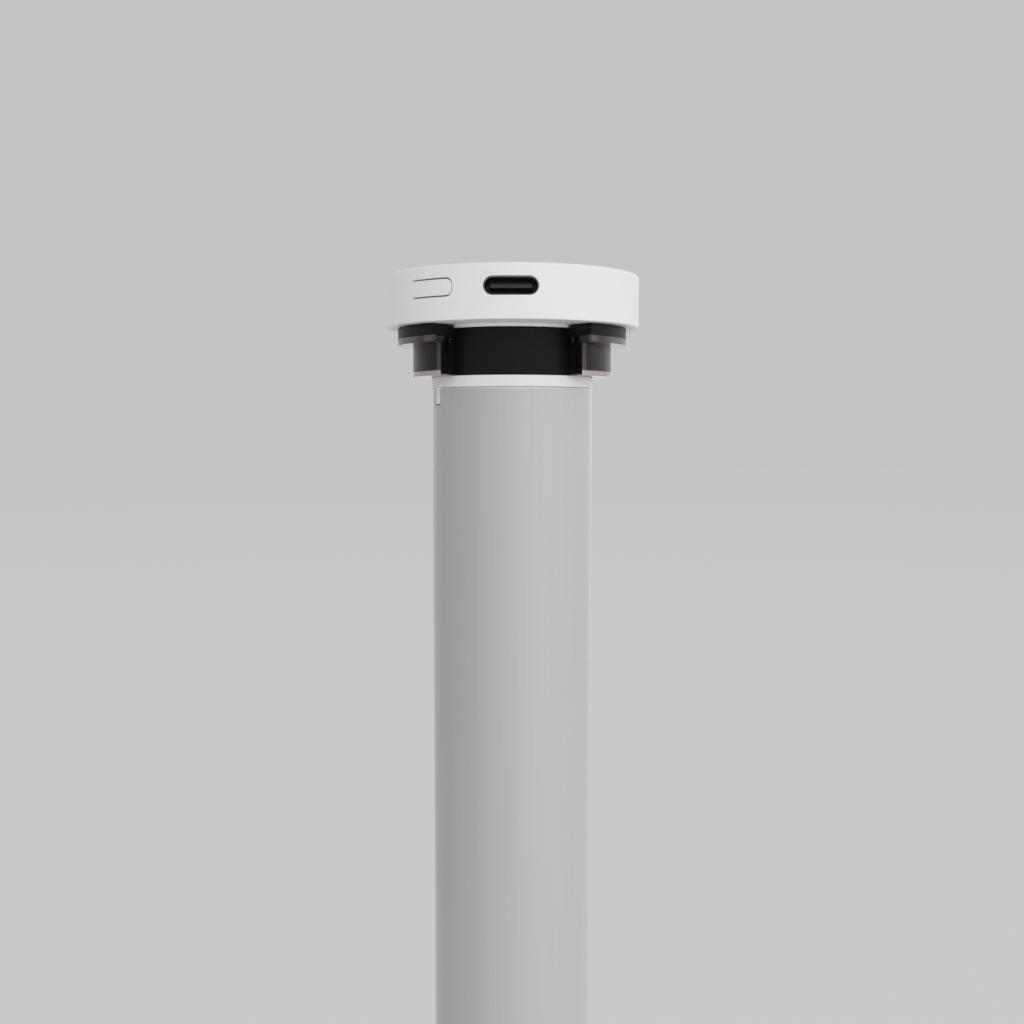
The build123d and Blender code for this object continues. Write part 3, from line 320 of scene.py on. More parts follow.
port_columns = head_turns[np.abs(head_turns - port_angle) < port_half_turn]
button_columns = head_turns[np.abs(head_turns - button_angle) < button_half_turn]
kept = open_cells(head_turns, [(c[0], c[-1]) for c in (port_columns, button_columns)])
rim_top = rounded(
    [(head_inside, inner_band[0]), (head_inside, ledge), (cover_seat, ledge), (cover_seat, 0),
     (head_radius, 0), (head_radius, outer_band[0])],
    [small_round, small_round, seat_round, rim_round],
)
underside = rounded(
    [(head_radius, outer_band[-1]), (head_radius, head_bottom), (boss_radius, head_bottom),
     (boss_radius, boss_bottom), (neck_radius, boss_bottom), (neck_radius, head_bottom),
     (0, head_bottom)],
    [foot_round, small_round, small_round, small_round, small_round],
)
floor_line = [(0, floor_top), (head_inside, floor_top), (head_inside, inner_band[-1])]
rim_shell = weld("rim_shell", [
    turned(rim_top, head_turns), turned(underside, head_turns),
    turned(rounded(floor_line, [small_round]), head_turns),
    (turned([(head_radius, z) for z in outer_band], head_turns), kept),
    (turned([(head_inside, z) for z in inner_band], head_turns), kept),
    pierced(port_angle, port_columns, port_edge, port_lip, port_pocket, port_pocket_face),
    pierced(button_angle, button_columns, button_edge, button_lip),
    *pegs(post_circle, post_turns, post_radius, floor_top, ledge),
    *pegs(bracket_circle, bracket_turns, bracket_post_radius, floor_top, bracket_post_top),
])
fit(rim_shell, white_plastic, "motor", "head_white", "head_shell")

# Button: a tongue of the rim, cut free on three sides, that bends at its left end when it is
# pressed. It is moulded with the rim, in the same plastic.
button_slot = 0.22
tongue_root = -button_opening[0] / 2
tongue_tip = button_opening[0] / 2 - button_slot
tongue_half = button_opening[1] / 2 - button_slot
tongue_edge = 0.05
root_corner = 0.06
face_depth = 0.06


def slab(length, width, corners, edge, thickness, place, long_steps=24, short_steps=8):
    """Flat block with round corners and edges, closed on all sides. Its outline is the points at
    one corner radius from an inner rectangle. Its rows go from the spine of one face out to the
    outline, round the edge, down the side and back to the spine of the other face. `place` puts
    a point given along, across and down into space."""
    first, last = corners
    left, right = first - length / 2, length / 2 - last
    run = np.linspace(left, right, long_steps)
    turn = np.linspace(0, np.pi / 2, 6)
    rise = np.linspace(-1, 1, short_steps)
    end_steps = short_steps + 2 * len(turn)
    radius = np.concatenate([
        np.linspace(first, last, long_steps), np.full(end_steps, last),
        np.linspace(last, first, long_steps), np.full(end_steps + 1, first),
    ])
    core = np.concatenate([run, np.full(end_steps, right), run[::-1], np.full(end_steps + 1, left)])
    angle = np.concatenate([
        np.full(long_steps, np.pi / 2), np.pi / 2 - turn, np.zeros(short_steps), -turn,
        np.full(long_steps, -np.pi / 2), -np.pi / 2 - turn, np.full(short_steps, np.pi), np.pi - turn,
        [np.pi / 2],
    ])
    side = np.concatenate([
        np.ones(long_steps + len(turn)), -rise, -np.ones(long_steps + 2 * len(turn)), rise,
        np.ones(len(turn) + 1),
    ])
    level = side * (width / 2 - radius)
    share = np.array([0, 0.3, 0.6, 0.85, 0.97])[:, None]
    bend = np.linspace(0, np.pi / 2, 4)[:, None]
    reach = np.concatenate([share * (radius - edge) + 0 * radius, radius - edge * (1 - np.sin(bend))])
    lift = np.concatenate([share * level, level + 0 * bend])
    down = np.concatenate([0 * share, edge * (1 - np.cos(bend))]) + 0 * radius
    along = core + reach * np.cos(angle)
    across = lift + reach * np.sin(angle)
    return place(
        np.concatenate([along, along[::-1]]),
        np.concatenate([across, across[::-1]]),
        np.concatenate([down, thickness - down[::-1]]),
    )


def in_the_rim(along, across, down):
    """Places the tongue: its face is flush with the rim, and its root meets the shell."""
    along = along + (tongue_root + tongue_tip) / 2
    flush = np.clip((along - tongue_root) / button_corner, 0, 1)
    down = np.where(down < face_depth, down * flush, down)
    return on_rim(button_angle, along, port_z + across, head_radius - down)


tongue_length = tongue_tip - tongue_root
press_tongue = weld("press_tongue", [
    slab(tongue_length, 2 * tongue_half, (root_corner, button_corner - button_slot), tongue_edge,
         head_radius - head_inside, in_the_rim, 60, 16),
])
fit(press_tongue, white_plastic, "button", "head_white", "pairing_button")

# Charge port: a drawn steel shell, nickel plated, with a round-ended mouth. A flat contact tongue
# of black plastic, with gold-plated pads on both faces, stands in it on a moulded block.
port_size = (8.94, 3.16)
shell_wall = 0.3
port_mouth = -21.1
port_back = -13.8
mouth_round = 0.1
back_round = 0.02
port_block_face = -15.4
block_back = -13.82
block_inset = 0.32
block_edge = 0.03
contact_width = 6.69
contact_thickness = 0.7
contact_depth = 5.2
contact_tip = port_mouth + 0.5
contact_corner = 0.2
contact_edge = 0.12
pad_pitch = 0.5
pad_gap = 0.08
pad_edge = 0.11
pad_start = port_mouth + 1.9


def port_ring(inset, depth):
    """Profile of insets and depths carried round the port's mouth: a point of the profile lies
    its inset inside the stadium, at its depth along the motor's Y."""
    half = (port_size[0] - port_size[1]) / 2
    end = np.linspace(np.pi / 2, -np.pi / 2, 33)
    angle = np.concatenate([end, end - np.pi, [np.pi / 2]])
    core = np.concatenate([np.full(len(end), half), np.full(len(end), -half), [half]])
    size = port_size[1] / 2 - np.asarray(inset)[:, None]
    depth = np.asarray(depth)[:, None] + 0 * angle
    return np.stack([core + size * np.cos(angle), depth, port_z + size * np.sin(angle)], -1)


sleeve_line = rounded(
    [(shell_wall, port_back), (shell_wall, port_mouth), (0, port_mouth), (0, port_back),
     (shell_wall, port_back)],
    [mouth_round, mouth_round, back_round],
)
port_sleeve = weld("port_sleeve", [port_ring(*sleeve_line.T)])
plated_steel, make = begin_finish("plated_steel")
scuffs = grain(make, 900, 4, (1, 0.05, 1))
close_finish(make, scuffs, 0.01, 0.3, {
    "Base Color": blend_colours(make, scuffs, (0.16, 0.16, 0.165), (0.22, 0.22, 0.225)),
    "Metallic": 1.0,
    "Roughness": 0.28 + 0.12 * scuffs,
})
fit(port_sleeve, plated_steel, "motor", "port_metal", "charge_port_shell")

port_block = port_ring(
    [port_size[1] / 2, block_inset + block_edge, block_inset, block_inset, port_size[1] / 2],
    [block_back, block_back, block_back - block_edge, port_block_face, port_block_face],
)
contact_tongue = weld("contact_tongue", [
    port_block,
    slab(contact_width, contact_thickness, (contact_corner, contact_corner), contact_edge, contact_depth,
         lambda along, across, down: np.stack([along, contact_tip + down, port_z + across], -1), 40, 4),
])
contact_plastic, make = begin_finish("contact_plastic")
place = make.node("SeparateXYZ", {}, {0: make.node("TexCoord", {}, {}, "Object")})
side = make.node("SeparateXYZ", {}, {0: make.node("NewGeometry", {}, {}, "Normal")}, 2)
stripe = make.node("Math", {"operation": "PINGPONG"}, {0: place + pad_pitch / 2 * mm, 1: pad_pitch / 2 * mm})
stripe = make.node("MapRange", {}, {"Value": stripe, "From Min": pad_gap * mm, "From Max": pad_edge * mm})
flat = make.node("Math", {"operation": "ABSOLUTE"}, {0: side})
flat = make.node("Math", {"operation": "GREATER_THAN"}, {0: flat, 1: 0.9})
behind_tip = make.node("SeparateXYZ", {}, {0: make.node("TexCoord", {}, {}, "Object")}, 1)
behind_tip = make.node("Math", {"operation": "GREATER_THAN"}, {0: behind_tip, 1: pad_start * mm})
pads = stripe * flat * behind_tip
dust = grain(make, 3000, 2)
close_finish(make, dust + pads, 0.02, 0.3, {
    "Base Color": blend_colours(make, pads, (0.022, 0.022, 0.023), (0.45, 0.34, 0.17)),
    "Metallic": pads,
    "Roughness": 0.35 + 0.1 * dust,
})
fit(contact_tongue, contact_plastic, "motor", "black_plastic", "charge_port_tongue")

# Head cover: the flush white lid that meets the bracket. Its hub is a closed socket for the
# bracket's stud, and four bosses take the bracket's screws.
cover_radius = 21.15
cover_round = 0.15
socket_radius = 4.05
socket_floor = -6.0
hub_radius = 5.55
hole_lip = 0.04
bracket_hole = 1.25
hole_end = -5.16
lid_boss_radius = 2.4
sink_radius = 1.8
sink_floor = -0.8
screw_clearance = 1.1
lid_turns = np.radians(np.linspace(-180, 180, 361))
hole_rows = np.linspace(11, 15, 9)
sink_rows = np.array([15.1, 15.7, 16.3, 16.9, 17.5, 18.1, 18.7, 19.3, 20.1])
bracket_spans = [(35, 55), (125, 145), (215, 235), (305, 325)]
screw_spans = [(201, 219), (321, 339), (81, 99)]


def through(columns, rows, x, y, steps):
    """Surface from the rectangle left out of a flat face to a round hole and down it: each point
    moves towards the hole's middle until it is one hole radius from it. `steps` gives the radii
    and heights of the hole's wall."""
    angle, radius = loop_round(columns, rows)
    edge_x, edge_y = radius * np.cos(angle) - x, radius * np.sin(angle) - y
    reach = np.hypot(edge_x, edge_y)
    size, height = np.array(steps, float).T[:, :, None]
    share = np.array([1, 0.6, 0.3, 0.08])[:, None]
    size = np.concatenate([size[:1] + share * (reach - size[:1]), size + 0 * reach])
    height = np.concatenate([height[:1] + 0 * share, height])
    return np.stack([x + size * edge_x / reach, y + size * edge_y / reach, height + 0 * reach], -1)


def lid_columns(low, high):
    """Columns of the lid between two whole degrees, which may be counted past half a turn."""
    low, high = [(a + 180) % 360 - 180 for a in (low, high)]
    return lid_turns[(lid_turns > np.radians(low - 0.5)) & (lid_turns < np.radians(high + 0.5))]


bracket_columns = [lid_columns(low, high) for low, high in bracket_spans]
screw_columns = [lid_columns(low, high) for low, high in screw_spans]
bracket_kept = open_cells(lid_turns, [(c[0], c[-1]) for c in bracket_columns])
screw_kept = open_cells(lid_turns, [(c[0], c[-1]) for c in screw_columns])
lid_sheets = [
    (turned([(r, 0) for r in hole_rows], lid_turns), bracket_kept),
    (turned([(r, 0) for r in sink_rows], lid_turns), screw_kept),
    turned([(hole_rows[-1], 0), (sink_rows[0], 0)], lid_turns),
]
bracket_line = [(bracket_hole + hole_lip, 0), (bracket_hole, -hole_lip), (bracket_hole, hole_end),
                (0, hole_end)]
sink_line = [(sink_radius + hole_lip, 0), (sink_radius, -hole_lip), (sink_radius, sink_floor),
             (screw_clearance, sink_floor), (screw_clearance, ledge)]
for holes, rows, circle, line in (
    (bracket_columns, hole_rows, bracket_circle, bracket_line),
    (screw_columns, sink_rows, post_circle, sink_line),
):
    for columns in holes:
        middle = (columns[0] + columns[-1]) / 2
        lid_sheets.append(through(columns, rows, circle * np.cos(middle), circle * np.sin(middle), line))
outer_line = rounded([(sink_rows[-1], 0), (cover_radius, 0), (cover_radius, ledge), (hub_radius, ledge),
                      (hub_radius, floor_top), (0, floor_top)], [cover_round, seat_round, 0, small_round])
socket_line = rounded([(0, socket_floor), (socket_radius, socket_floor), (socket_radius, 0),
                       (hole_rows[0], 0)], [small_round, small_round])
bracket_lid = weld("bracket_lid", lid_sheets + [
    turned(outer_line, lid_turns), turned(socket_line, lid_turns),
    *pegs(bracket_circle, bracket_turns, lid_boss_radius, hole_end, ledge),
])
fit(bracket_lid, white_plastic, "motor", "head_white", "head_cover")

# Crown: the black idler ring that carries the top of the roller tube. It is moulded in glass
# filled nylon, and turns freely on the neck. Two wings stop the roller tube, and a stepped lug
# stands under each.
core_radius = 13.95
crown_top = -9.4
crown_bottom = -17.05
core_foot_round = 0.12
core_top_round = 0.15
flange_top = -8.94
flange_bottom = -10.75
wing_inside = 14.6
web_radius = 14.8
web_top = crown_top - 0.01
lug_inside = 13.0
lug_root = flange_bottom + 0.3
overlap = 0.02
overlap_turn = 0.001
stop_radius = 19.85
step_radius = 15.4
lug_radius = 16.35
lug_bottom = -16.2
wing_half = np.radians(49.3)
shoe_half = np.radians(47.6)
lug_half = np.radians(44.446)
crown_turns = np.radians(np.linspace(0, 360, 361))


def sector(inner, outer, middle, half_angle, low, high, edge=0.08):
    """Ring segment with round edges: a slab bent round the axis, where the way along it becomes
    an angle about the axis and the way across it a radius."""
    mean = (inner + outer) / 2

    def bent(along, across, down):
        return about_axis(mean + across, middle + along / mean, high - down)

    return slab(2 * half_angle * mean, outer - inner, (edge, edge), edge, high - low, bent, 120, 12)


def stepped_lug(middle, step_foot, lug_foot, top):
    """Low step and the lug on it, from their feet up to one height, where their tops overlap. Their
    edges are sharp and reach a little into the shoe, which is moulded on with no air between."""
    return [
        sector(lug_inside, radius + overlap, middle, half_angle, foot, top, overlap)
        for radius, half_angle, foot in (
            (step_radius, shoe_half, step_foot), (lug_radius, lug_half + overlap_turn, lug_foot - overlap),
        )
    ]


def ring(points, radii):
    """Profile turned about the axis, with a radius for each corner from the second point on. The
    side from its first point to its second is left open: a fault, which shows on the wheel."""
    return turned(rounded(points + points[:2], radii)[1:-1], crown_turns)


crown_sheets = [ring([(neck_radius, crown_bottom), (core_radius, crown_bottom), (core_radius, crown_top),
                      (neck_radius, crown_top)], [core_foot_round, core_top_round, small_round, small_round])]
for middle in (0, np.pi):
    crown_sheets += [
        sector(wing_inside, stop_radius, middle, wing_half, flange_bottom - overlap, flange_top),
        sector(lug_inside, web_radius, middle, wing_half, flange_bottom, web_top),
        *stepped_lug(middle, crown_bottom, lug_bottom, lug_root),
    ]
idler_crown = weld("idler_crown", crown_sheets)
black_nylon, make = begin_finish("black_nylon")
fibre = grain(make, 2600, 4)
tone_and_glow = grain(make, 120, 2)
close_finish(make, fibre, 0.03, 0.5, {
    "Base Color": blend_colours(make, tone_and_glow, (0.0045, 0.0045, 0.0045), (0.007, 0.007, 0.007)),
    "Roughness": 0.32 + 0.14 * fibre,
    "Specular IOR Level": 0.16,
})
fit(idler_crown, black_nylon, "crown", "crown_black", "crown")

# Crown dampers: a smoky clear shoe of soft urethane over each lug. Its flange lies under the
# wing, its wall wraps the lug and its floor closes under it. It keeps the roller tube quiet.
damper_flange_bottom = -11.85
damper_bottom = -17.2
seat_radius = 17.25
sole_inside = 14.15
damper_edge = 0.08
wing_steps, step_steps, lug_steps = 3, 5, 90


def shoe(middle, zones):
    """Cross-sections carried round a lug, one zone of angles after another, each with its own
    section. Where two zones meet, the ring between their sections is left open."""
    angle = np.concatenate([np.linspace(first, last, steps) for first, last, steps, line in zones])
    line = np.concatenate([
        np.tile(np.array(line + line[:1])[None], (steps, 1, 1)) for _, _, steps, line in zones
    ])
    ends = np.cumsum([steps for _, _, steps, _ in zones])[:-1] - 1
    kept = ~np.isin(np.arange(len(angle) - 1), ends)[:, None]
    return about_axis(line[..., 0], middle + angle[:, None], line[..., 1]), kept


def make_shoe(name, middle, zones, finish, body, *nodes):
    """Fills a shoe's flat end and step faces and gives its edges a small round."""
    piece = weld(name, [shoe(middle, zones)])
    shape = bmesh.new()
    shape.from_mesh(piece.data)
    bmesh.ops.holes_fill(shape, edges=[e for e in shape.edges if e.is_boundary], sides=0)
    bmesh.ops.recalc_face_normals(shape, faces=shape.faces)
    shape.to_mesh(piece.data)
    shape.free()
    piece.data.shade_smooth()
    piece.data.set_sharp_from_angle(angle=np.radians(35))
    edge = piece.modifiers.new("edge", "BEVEL")
    edge.width = damper_edge * mm
    edge.segments = 3
    edge.limit_method = "ANGLE"
    edge.angle_limit = np.radians(40)
    edge.harden_normals = True
    fit(piece, finish, body, "damper", *nodes)


# The urethane is clear where it is thick over the black lug. At its floor, its sole, its flange's edge and,
# faintly, past the lug's ends, a lighter milky finish is mixed in. This is painted glow that stands in for
# the light coming out of the urethane there. On the flange's edge the painted glow grows towards the middle
# of each shoe.
flange_face = 17.0
# Shares of the painted glow at each place.
rim_start, rim_end, rim_glow_low, rim_glow_high = 0.72, 0.9, 0.05, 0.22
floor_glow = 0.6
end_glow = 0.09
sole_glow = 0.3
step_glow = 0.05
smoky_urethane, make = begin_finish("smoky_urethane")
swirl = grain(make, 260, 3)
relief = make.node("Bump", {}, {"Height": swirl, "Distance": 0.02 * mm, "Strength": 0.06})
place = make.node("TexCoord", {}, {}, "Object")
level = make.node("SeparateXYZ", {}, {0: place}, 2)
out = make.node("VectorMath", {"operation": "MULTIPLY"}, {0: place, 1: (1, 1, 0)})
past_seat = make.node("VectorMath", {"operation": "LENGTH"}, {0: out}, "Value")
past_seat = make.node("Math", {"operation": "GREATER_THAN"}, {0: past_seat, 1: flange_face * mm})
out = make.node("VectorMath", {"operation": "NORMALIZE"}, {0: out})
facing = make.node("NewGeometry", {}, {}, "Normal")
outer = make.node("VectorMath", {"operation": "DOT_PRODUCT"}, {0: out, 1: facing}, "Value")
outer = make.node("Math", {"operation": "GREATER_THAN"}, {0: outer, 1: 0.8})
clear = make.node("BsdfPrincipled", {}, {
    "Base Color": blend_colours(make, swirl, (0.68, 0.60, 0.575), (0.74, 0.66, 0.64)),
    "Roughness": 0.04 + 0.04 * swirl + 0.24 * outer,
    "Transmission Weight": 1.0,
    "IOR": 1.40,
    "Specular Tint": (1.0, 0.8, 0.74, 1),
    "Normal": relief,
})
# Lighter opaque finish of the painted glow.
milky_glow = make.node("BsdfPrincipled", {}, {
    "Base Color": blend_colours(make, swirl, (0.66, 0.57, 0.56), (0.74, 0.66, 0.65)),
    "Roughness": 0.2 + 0.1 * swirl,
    "Normal": relief,
})
sideways = make.node("Math", {"operation": "ABSOLUTE"}, {0: make.node("SeparateXYZ", {}, {0: out}, 0)})
past_lug = make.node("Math", {"operation": "LESS_THAN"}, {0: sideways, 1: np.cos(lug_half)})
upright = make.node("Math", {"operation": "ABSOLUTE"}, {0: make.node("SeparateXYZ", {}, {0: facing}, 2)})
upright = make.node("Math", {"operation": "LESS_THAN"}, {0: upright, 1: 0.3})
# Painted glow on the flange's edge, growing towards the middle of each shoe.
flange_edge_glow = make.node("MapRange", {"interpolation_type": "SMOOTHSTEP"}, {
    "Value": sideways, "From Min": rim_start, "From Max": rim_end,
    "To Min": rim_glow_low, "To Max": rim_glow_high,
})
crown_floor, wheel_floor, flange, sole = [
    make.node("Math", {"operation": "COMPARE"}, {0: level, 1: middle * mm, 2: half * mm})
    for middle, half in ((-16.85, 0.45), (-399.92, 0.45), (-11.35, 0.55), (-17.15, 0.15))
]
# Share of the painted glow at each place; the rest is clear urethane.
tone_and_glow = outer * (floor_glow * (crown_floor + wheel_floor) + end_glow * past_lug + flange_edge_glow * flange)
tone_and_glow = tone_and_glow + (1 - outer) * (sole_glow * sole + step_glow * past_seat * upright * flange)
make.node("OutputMaterial", {}, {"Surface": make.node("MixShader", {}, {0: tone_and_glow, 1: clear, 2: milky_glow})})
wing_line = [(stop_radius, flange_bottom), (stop_radius, damper_flange_bottom),
             (seat_radius, damper_flange_bottom)]
wall_line = wing_line + [(seat_radius, damper_bottom), (sole_inside, damper_bottom),
                         (sole_inside, crown_bottom), (step_radius, crown_bottom), (step_radius, lug_bottom)]
open_line = wall_line + [(lug_radius, lug_bottom), (lug_radius, damper_flange_bottom),
                         (lug_radius, flange_bottom), (lug_radius, flange_bottom)]
closed_line = wall_line + [(step_radius, lug_bottom), (step_radius, damper_flange_bottom),
                           (step_radius, flange_bottom), (lug_radius, flange_bottom)]
wing_line += [(seat_radius, damper_flange_bottom)] + [(step_radius, damper_flange_bottom)] * 6
wing_line += [(step_radius, flange_bottom), (lug_radius, flange_bottom)]
crown_zones = [
    (-wing_half, -shoe_half, wing_steps, wing_line),
    (-shoe_half, -lug_half, step_steps, closed_line),
    (-lug_half, lug_half, lug_steps, open_line),
    (lug_half, shoe_half, step_steps, closed_line),
    (shoe_half, wing_half, wing_steps, wing_line),
]
for side, middle in (("right", 0), ("left", np.pi)):
    make_shoe(f"crown_shoe_{side}", middle, crown_zones, smoky_urethane, "crown", f"crown_damper_{side}")

# Tube collar: the white moulded ring between the crown and the tube. Two tongues key it into
# slots in the tube's end.
tube_radius = 14.0
tube_inside = 13.2
collar_top = -17.15
tube_top = -19.07
key_angles = np.radians([-154.5, 25.5])
collar_round = 0.13
key_width = 1.8
key_length = 2.8
key_root = 1.0
key_sunk = 0.01
key_corner = 0.25
key_edge = 0.08


def key(middle):
    """Tongue of the collar: a slab wrapped on the tube's radius, where the way along it runs down
    the tube and the way across it runs round the tube."""
    height = key_length + key_root
    thickness = tube_radius - tube_inside - 2 * key_sunk

    def wrapped(along, across, down):
        level = tube_top + key_root - height / 2 - along
        return about_axis(tube_radius - key_sunk - down, middle + across / tube_radius, level)

    return slab(height, key_width, (key_corner, key_corner), key_edge, thickness, wrapped, 12, 8)


collar_line = [(neck_radius, tube_top), (tube_radius, tube_top), (tube_radius, collar_top),
               (neck_radius, collar_top)]
white_collar = weld("white_collar", [
    ring(collar_line, [collar_round, collar_round, small_round, small_round]), *[key(a) for a in key_angles],
])
fit(white_collar, white_plastic, "motor", "head_white", "tube_collar")

# Motor tube: the drawn aluminium tube that holds everything, with a satin clear anodised skin.
# Two slots in its top end take the collar's tongues, and screws hold it near both ends.
tube_bottom = -383.97
slot_depth = 3.0
slot_gap = 0.2
slot_half = (key_width / 2 + slot_gap) / tube_radius
across_slot = slot_half * np.linspace(-1, 1, 10)
past_slot = np.linspace(slot_half, np.pi - slot_half, 172)[1:-1]
slot_turns = np.concatenate([turn for a in key_angles for turn in (a + across_slot, a + past_slot)])
slot_turns = np.append(slot_turns, slot_turns[0] + 2 * np.pi)
slot_kept = open_cells(slot_turns, [(a - slot_half, a + slot_half) for a in key_angles])
tube_edge = 0.24
tube_foot_round = 0.05
slot_bend = np.linspace(np.pi / 2, 0, 5)
slot_sides = np.linspace(0.3, slot_depth, 4)
slot_rows = tube_top - np.concatenate([tube_edge * (1 - np.sin(slot_bend)), slot_sides])
slot_radii = tube_radius - np.concatenate([tube_edge * (1 - np.cos(slot_bend)), 0 * slot_sides])


def slot_wall(middle):
    """Sides and foot of a slot: down one side, across the foot and up the other, from the tube's
    outside, whose top edge is round, to its inside."""
    foot = 0 * across_slot[1:-1]
    angle = np.concatenate([0 * slot_rows - slot_half, across_slot[1:-1], 0 * slot_rows + slot_half]) + middle
    height = np.concatenate([slot_rows, foot + slot_rows[-1], slot_rows[::-1]])
    outside = np.concatenate([slot_radii, foot + tube_radius, slot_radii[::-1]])
    radius = np.stack([outside, np.full(len(outside), tube_inside)])
    return about_axis(radius, angle, height + 0 * radius)


lower_line = rounded([(tube_radius, slot_rows[-1]), (tube_radius, tube_bottom), (tube_inside, tube_bottom),
                      (tube_inside, slot_rows[-1])], [tube_foot_round, tube_foot_round])
satin_tube = weld("satin_tube", [
    (turned(np.column_stack([slot_radii, slot_rows]), slot_turns), slot_kept),
    (turned([(tube_inside, z) for z in slot_rows], slot_turns), slot_kept),
    (turned([(slot_radii[0], tube_top), (tube_inside, tube_top)], slot_turns), slot_kept),
    turned(lower_line, slot_turns), *[slot_wall(a) for a in key_angles],
])
# The tube is painted lighter in a narrow band on the round of its top edge: a painted highlight for the light
# that this round catches.
highlight_middle = tube_top - 0.2
highlight_half = 0.08
satin_aluminium, make = begin_finish("satin_aluminium")
drawn = grain(make, 2400, 3, (1, 1, 0.015))
blasted = grain(make, 5200, 3)
height = make.node("SeparateXYZ", {}, {0: make.node("TexCoord", {}, {}, "Object")}, 2)
# Mask of the painted highlight band on the top edge's round.
painted_highlight = make.node("Math", {"operation": "COMPARE"}, {0: height, 1: highlight_middle * mm, 2: highlight_half * mm})
skin = blend_colours(make, drawn, (0.565, 0.565, 0.56), (0.605, 0.605, 0.60))
close_finish(make, 0.5 * drawn + 0.5 * blasted, 0.01, 0.35, {
    "Base Color": make.node("Mix", {"data_type": "RGBA"}, {0: painted_highlight, 6: skin, 7: (0.82, 0.82, 0.815, 1)}, 2),
    "Metallic": 0.7,
    "Roughness": 0.42 + 0.06 * blasted,
    "Coat Weight": 1.0,
    "Coat Roughness": 0.18,
    "Coat IOR": 1.45,
})
fit(satin_tube, satin_aluminium, "motor", "tube", "motor_tube")

# Tube screws and cover screws: small pan heads with a cross recess, in nickel plated steel.
# Two hold the neck in the tube's top and three the plug in its foot, and three hold the lid.
screw_head = 1.6
screw_flat = 1.0
screw_shank = 0.9
recess_depth = 0.5
tube_screw_height = 0.8
tube_screw_length = 3.0
neck_screw_level = -25.07
plug_screw_level = -377.97
lid_screw_height = 0.7
lid_screw_length = 5.0


def screw(height, length):
    """Screw along its own axis. The cross recess is a ring of points whose radius swells four
    times a turn, with the sixth power of a cosine. From it rows go out over the head, whose edge
    is a quarter of an ellipse, then under it and down the shank."""
    turn = np.radians(np.linspace(0, 360, 65))
    cross = 0.28 + 0.62 * np.abs(np.cos(2 * turn)) ** 6
    dome = np.linspace(0, 1, 7)[:, None]
    head = screw_flat + (screw_head - screw_flat) * np.sin(dome * np.pi / 2)
    fall = height * (0.35 + 0.65 * np.cos(dome * np.pi / 2))
    rows = [
        (0 * turn, height - recess_depth), (0.7 * cross, height - recess_depth), (cross, height),
        (screw_flat + 0 * turn, height), (head + 0 * turn, fall), (screw_head + 0 * turn, 0),
        (screw_shank + 0 * turn, 0), (screw_shank + 0 * turn, -length), (0 * turn, -length),
    ]
    radius = np.concatenate([np.atleast_2d(r) for r, h in rows])
    level = np.concatenate([np.full(np.atleast_2d(r).shape, 1.0) * h for r, h in rows])
    return about_axis(radius, turn, level)


def along_radius(points, angle, radius, height):
    """Lays a screw on its side, so that its axis points away from the motor's."""
    out = np.array([np.cos(angle), np.sin(angle), 0])
    beside = np.array([-np.sin(angle), np.cos(angle), 0])
    up = np.array([0, 0, 1])
    return points[..., :1] * beside + points[..., 1:2] * up + (points[..., 2:] + radius) * out + height * up


tube_places = [(a, neck_screw_level) for a in np.radians([60, 120])]
tube_places += [(a, plug_screw_level) for a in post_turns]
tube_screw = screw(tube_screw_height, tube_screw_length)
side_screws = weld("side_screws", [along_radius(tube_screw, a, tube_radius, z) for a, z in tube_places])
lid_screw = screw(lid_screw_height, lid_screw_length)
lid_screws = weld("lid_screws", [
    lid_screw + np.array([post_circle * np.cos(a), post_circle * np.sin(a), sink_floor]) for a in post_turns
])
fit(side_screws, plated_steel, "motor", "steel", "tube_screws")
fit(lid_screws, plated_steel, "motor", "steel", "cover_screws")

# End plug: the black nylon plug that closes the tube's foot. Its flange covers the tube's edge
# and its bore holds the output bush.
plug_top = -371.97
plug_bottom = -385.97
plug_bore = 6.0
plug_radius = 13.15
plug_rounds = [0.3, 0, 0.1, 0.25, 0.2, 0.1]
plug_line = [
    (plug_bore, plug_top), (plug_radius, plug_top), (plug_radius, tube_bottom), (tube_radius, tube_bottom),
    (tube_radius, plug_bottom), (plug_bore, plug_bottom),
]
tail_plug = weld("tail_plug", [ring(plug_line, plug_rounds)])
fit(tail_plug, black_nylon, "motor", "black_plastic", "end_plug")

# Drive wheel: the black nylon wheel that turns the lower end of the roller tube, with a clipped
# hexagonal hub, six ribs, a rim and the same stepped lugs and soft shoes as the crown.
wheel_top = -386.27
wheel_bottom = -400.27
web_half = 1.0
rim_inside = core_radius - 1.8
rim_rounds = [0.15, 0.15, 0.1, 0, 0, 0.1, 0.15, 0.15]
wheel_hub = 6.4
hub_round = 0.15
hex_half = 3.4
hex_lip = 0.05
rib_thickness = 1.6
rib_overlap = 0.4
rib_corner = 0.2
rib_edge = 0.1
wheel_lug_bottom = wheel_bottom + 0.85
seat_bevel = 0.6
wheel_middle = (wheel_top + wheel_bottom) / 2
rim_line = [
    (core_radius, wheel_bottom), (core_radius, wheel_top), (rim_inside, wheel_top),
    (rim_inside, wheel_middle + web_half), (wheel_hub, wheel_middle + web_half),
    (wheel_hub, wheel_middle - web_half), (rim_inside, wheel_middle - web_half),
    (rim_inside, wheel_bottom),
]
hex_turn = np.radians(np.linspace(0, 360, 73))
hex_radius = hex_half / np.cos((hex_turn + np.pi / 6) % (np.pi / 3) - np.pi / 6)
hub_rows = [
    (hex_radius, wheel_top), (hex_radius + hex_lip, wheel_top), (wheel_hub - hub_round, wheel_top),
    (wheel_hub, wheel_top - hub_round), (wheel_hub, wheel_bottom + hub_round),
    (wheel_hub - hub_round, wheel_bottom), (hex_radius + hex_lip, wheel_bottom),
    (hex_radius, wheel_bottom), (hex_radius, wheel_top),
]
hub = np.stack([about_axis(r, hex_turn, z) for r, z in hub_rows])


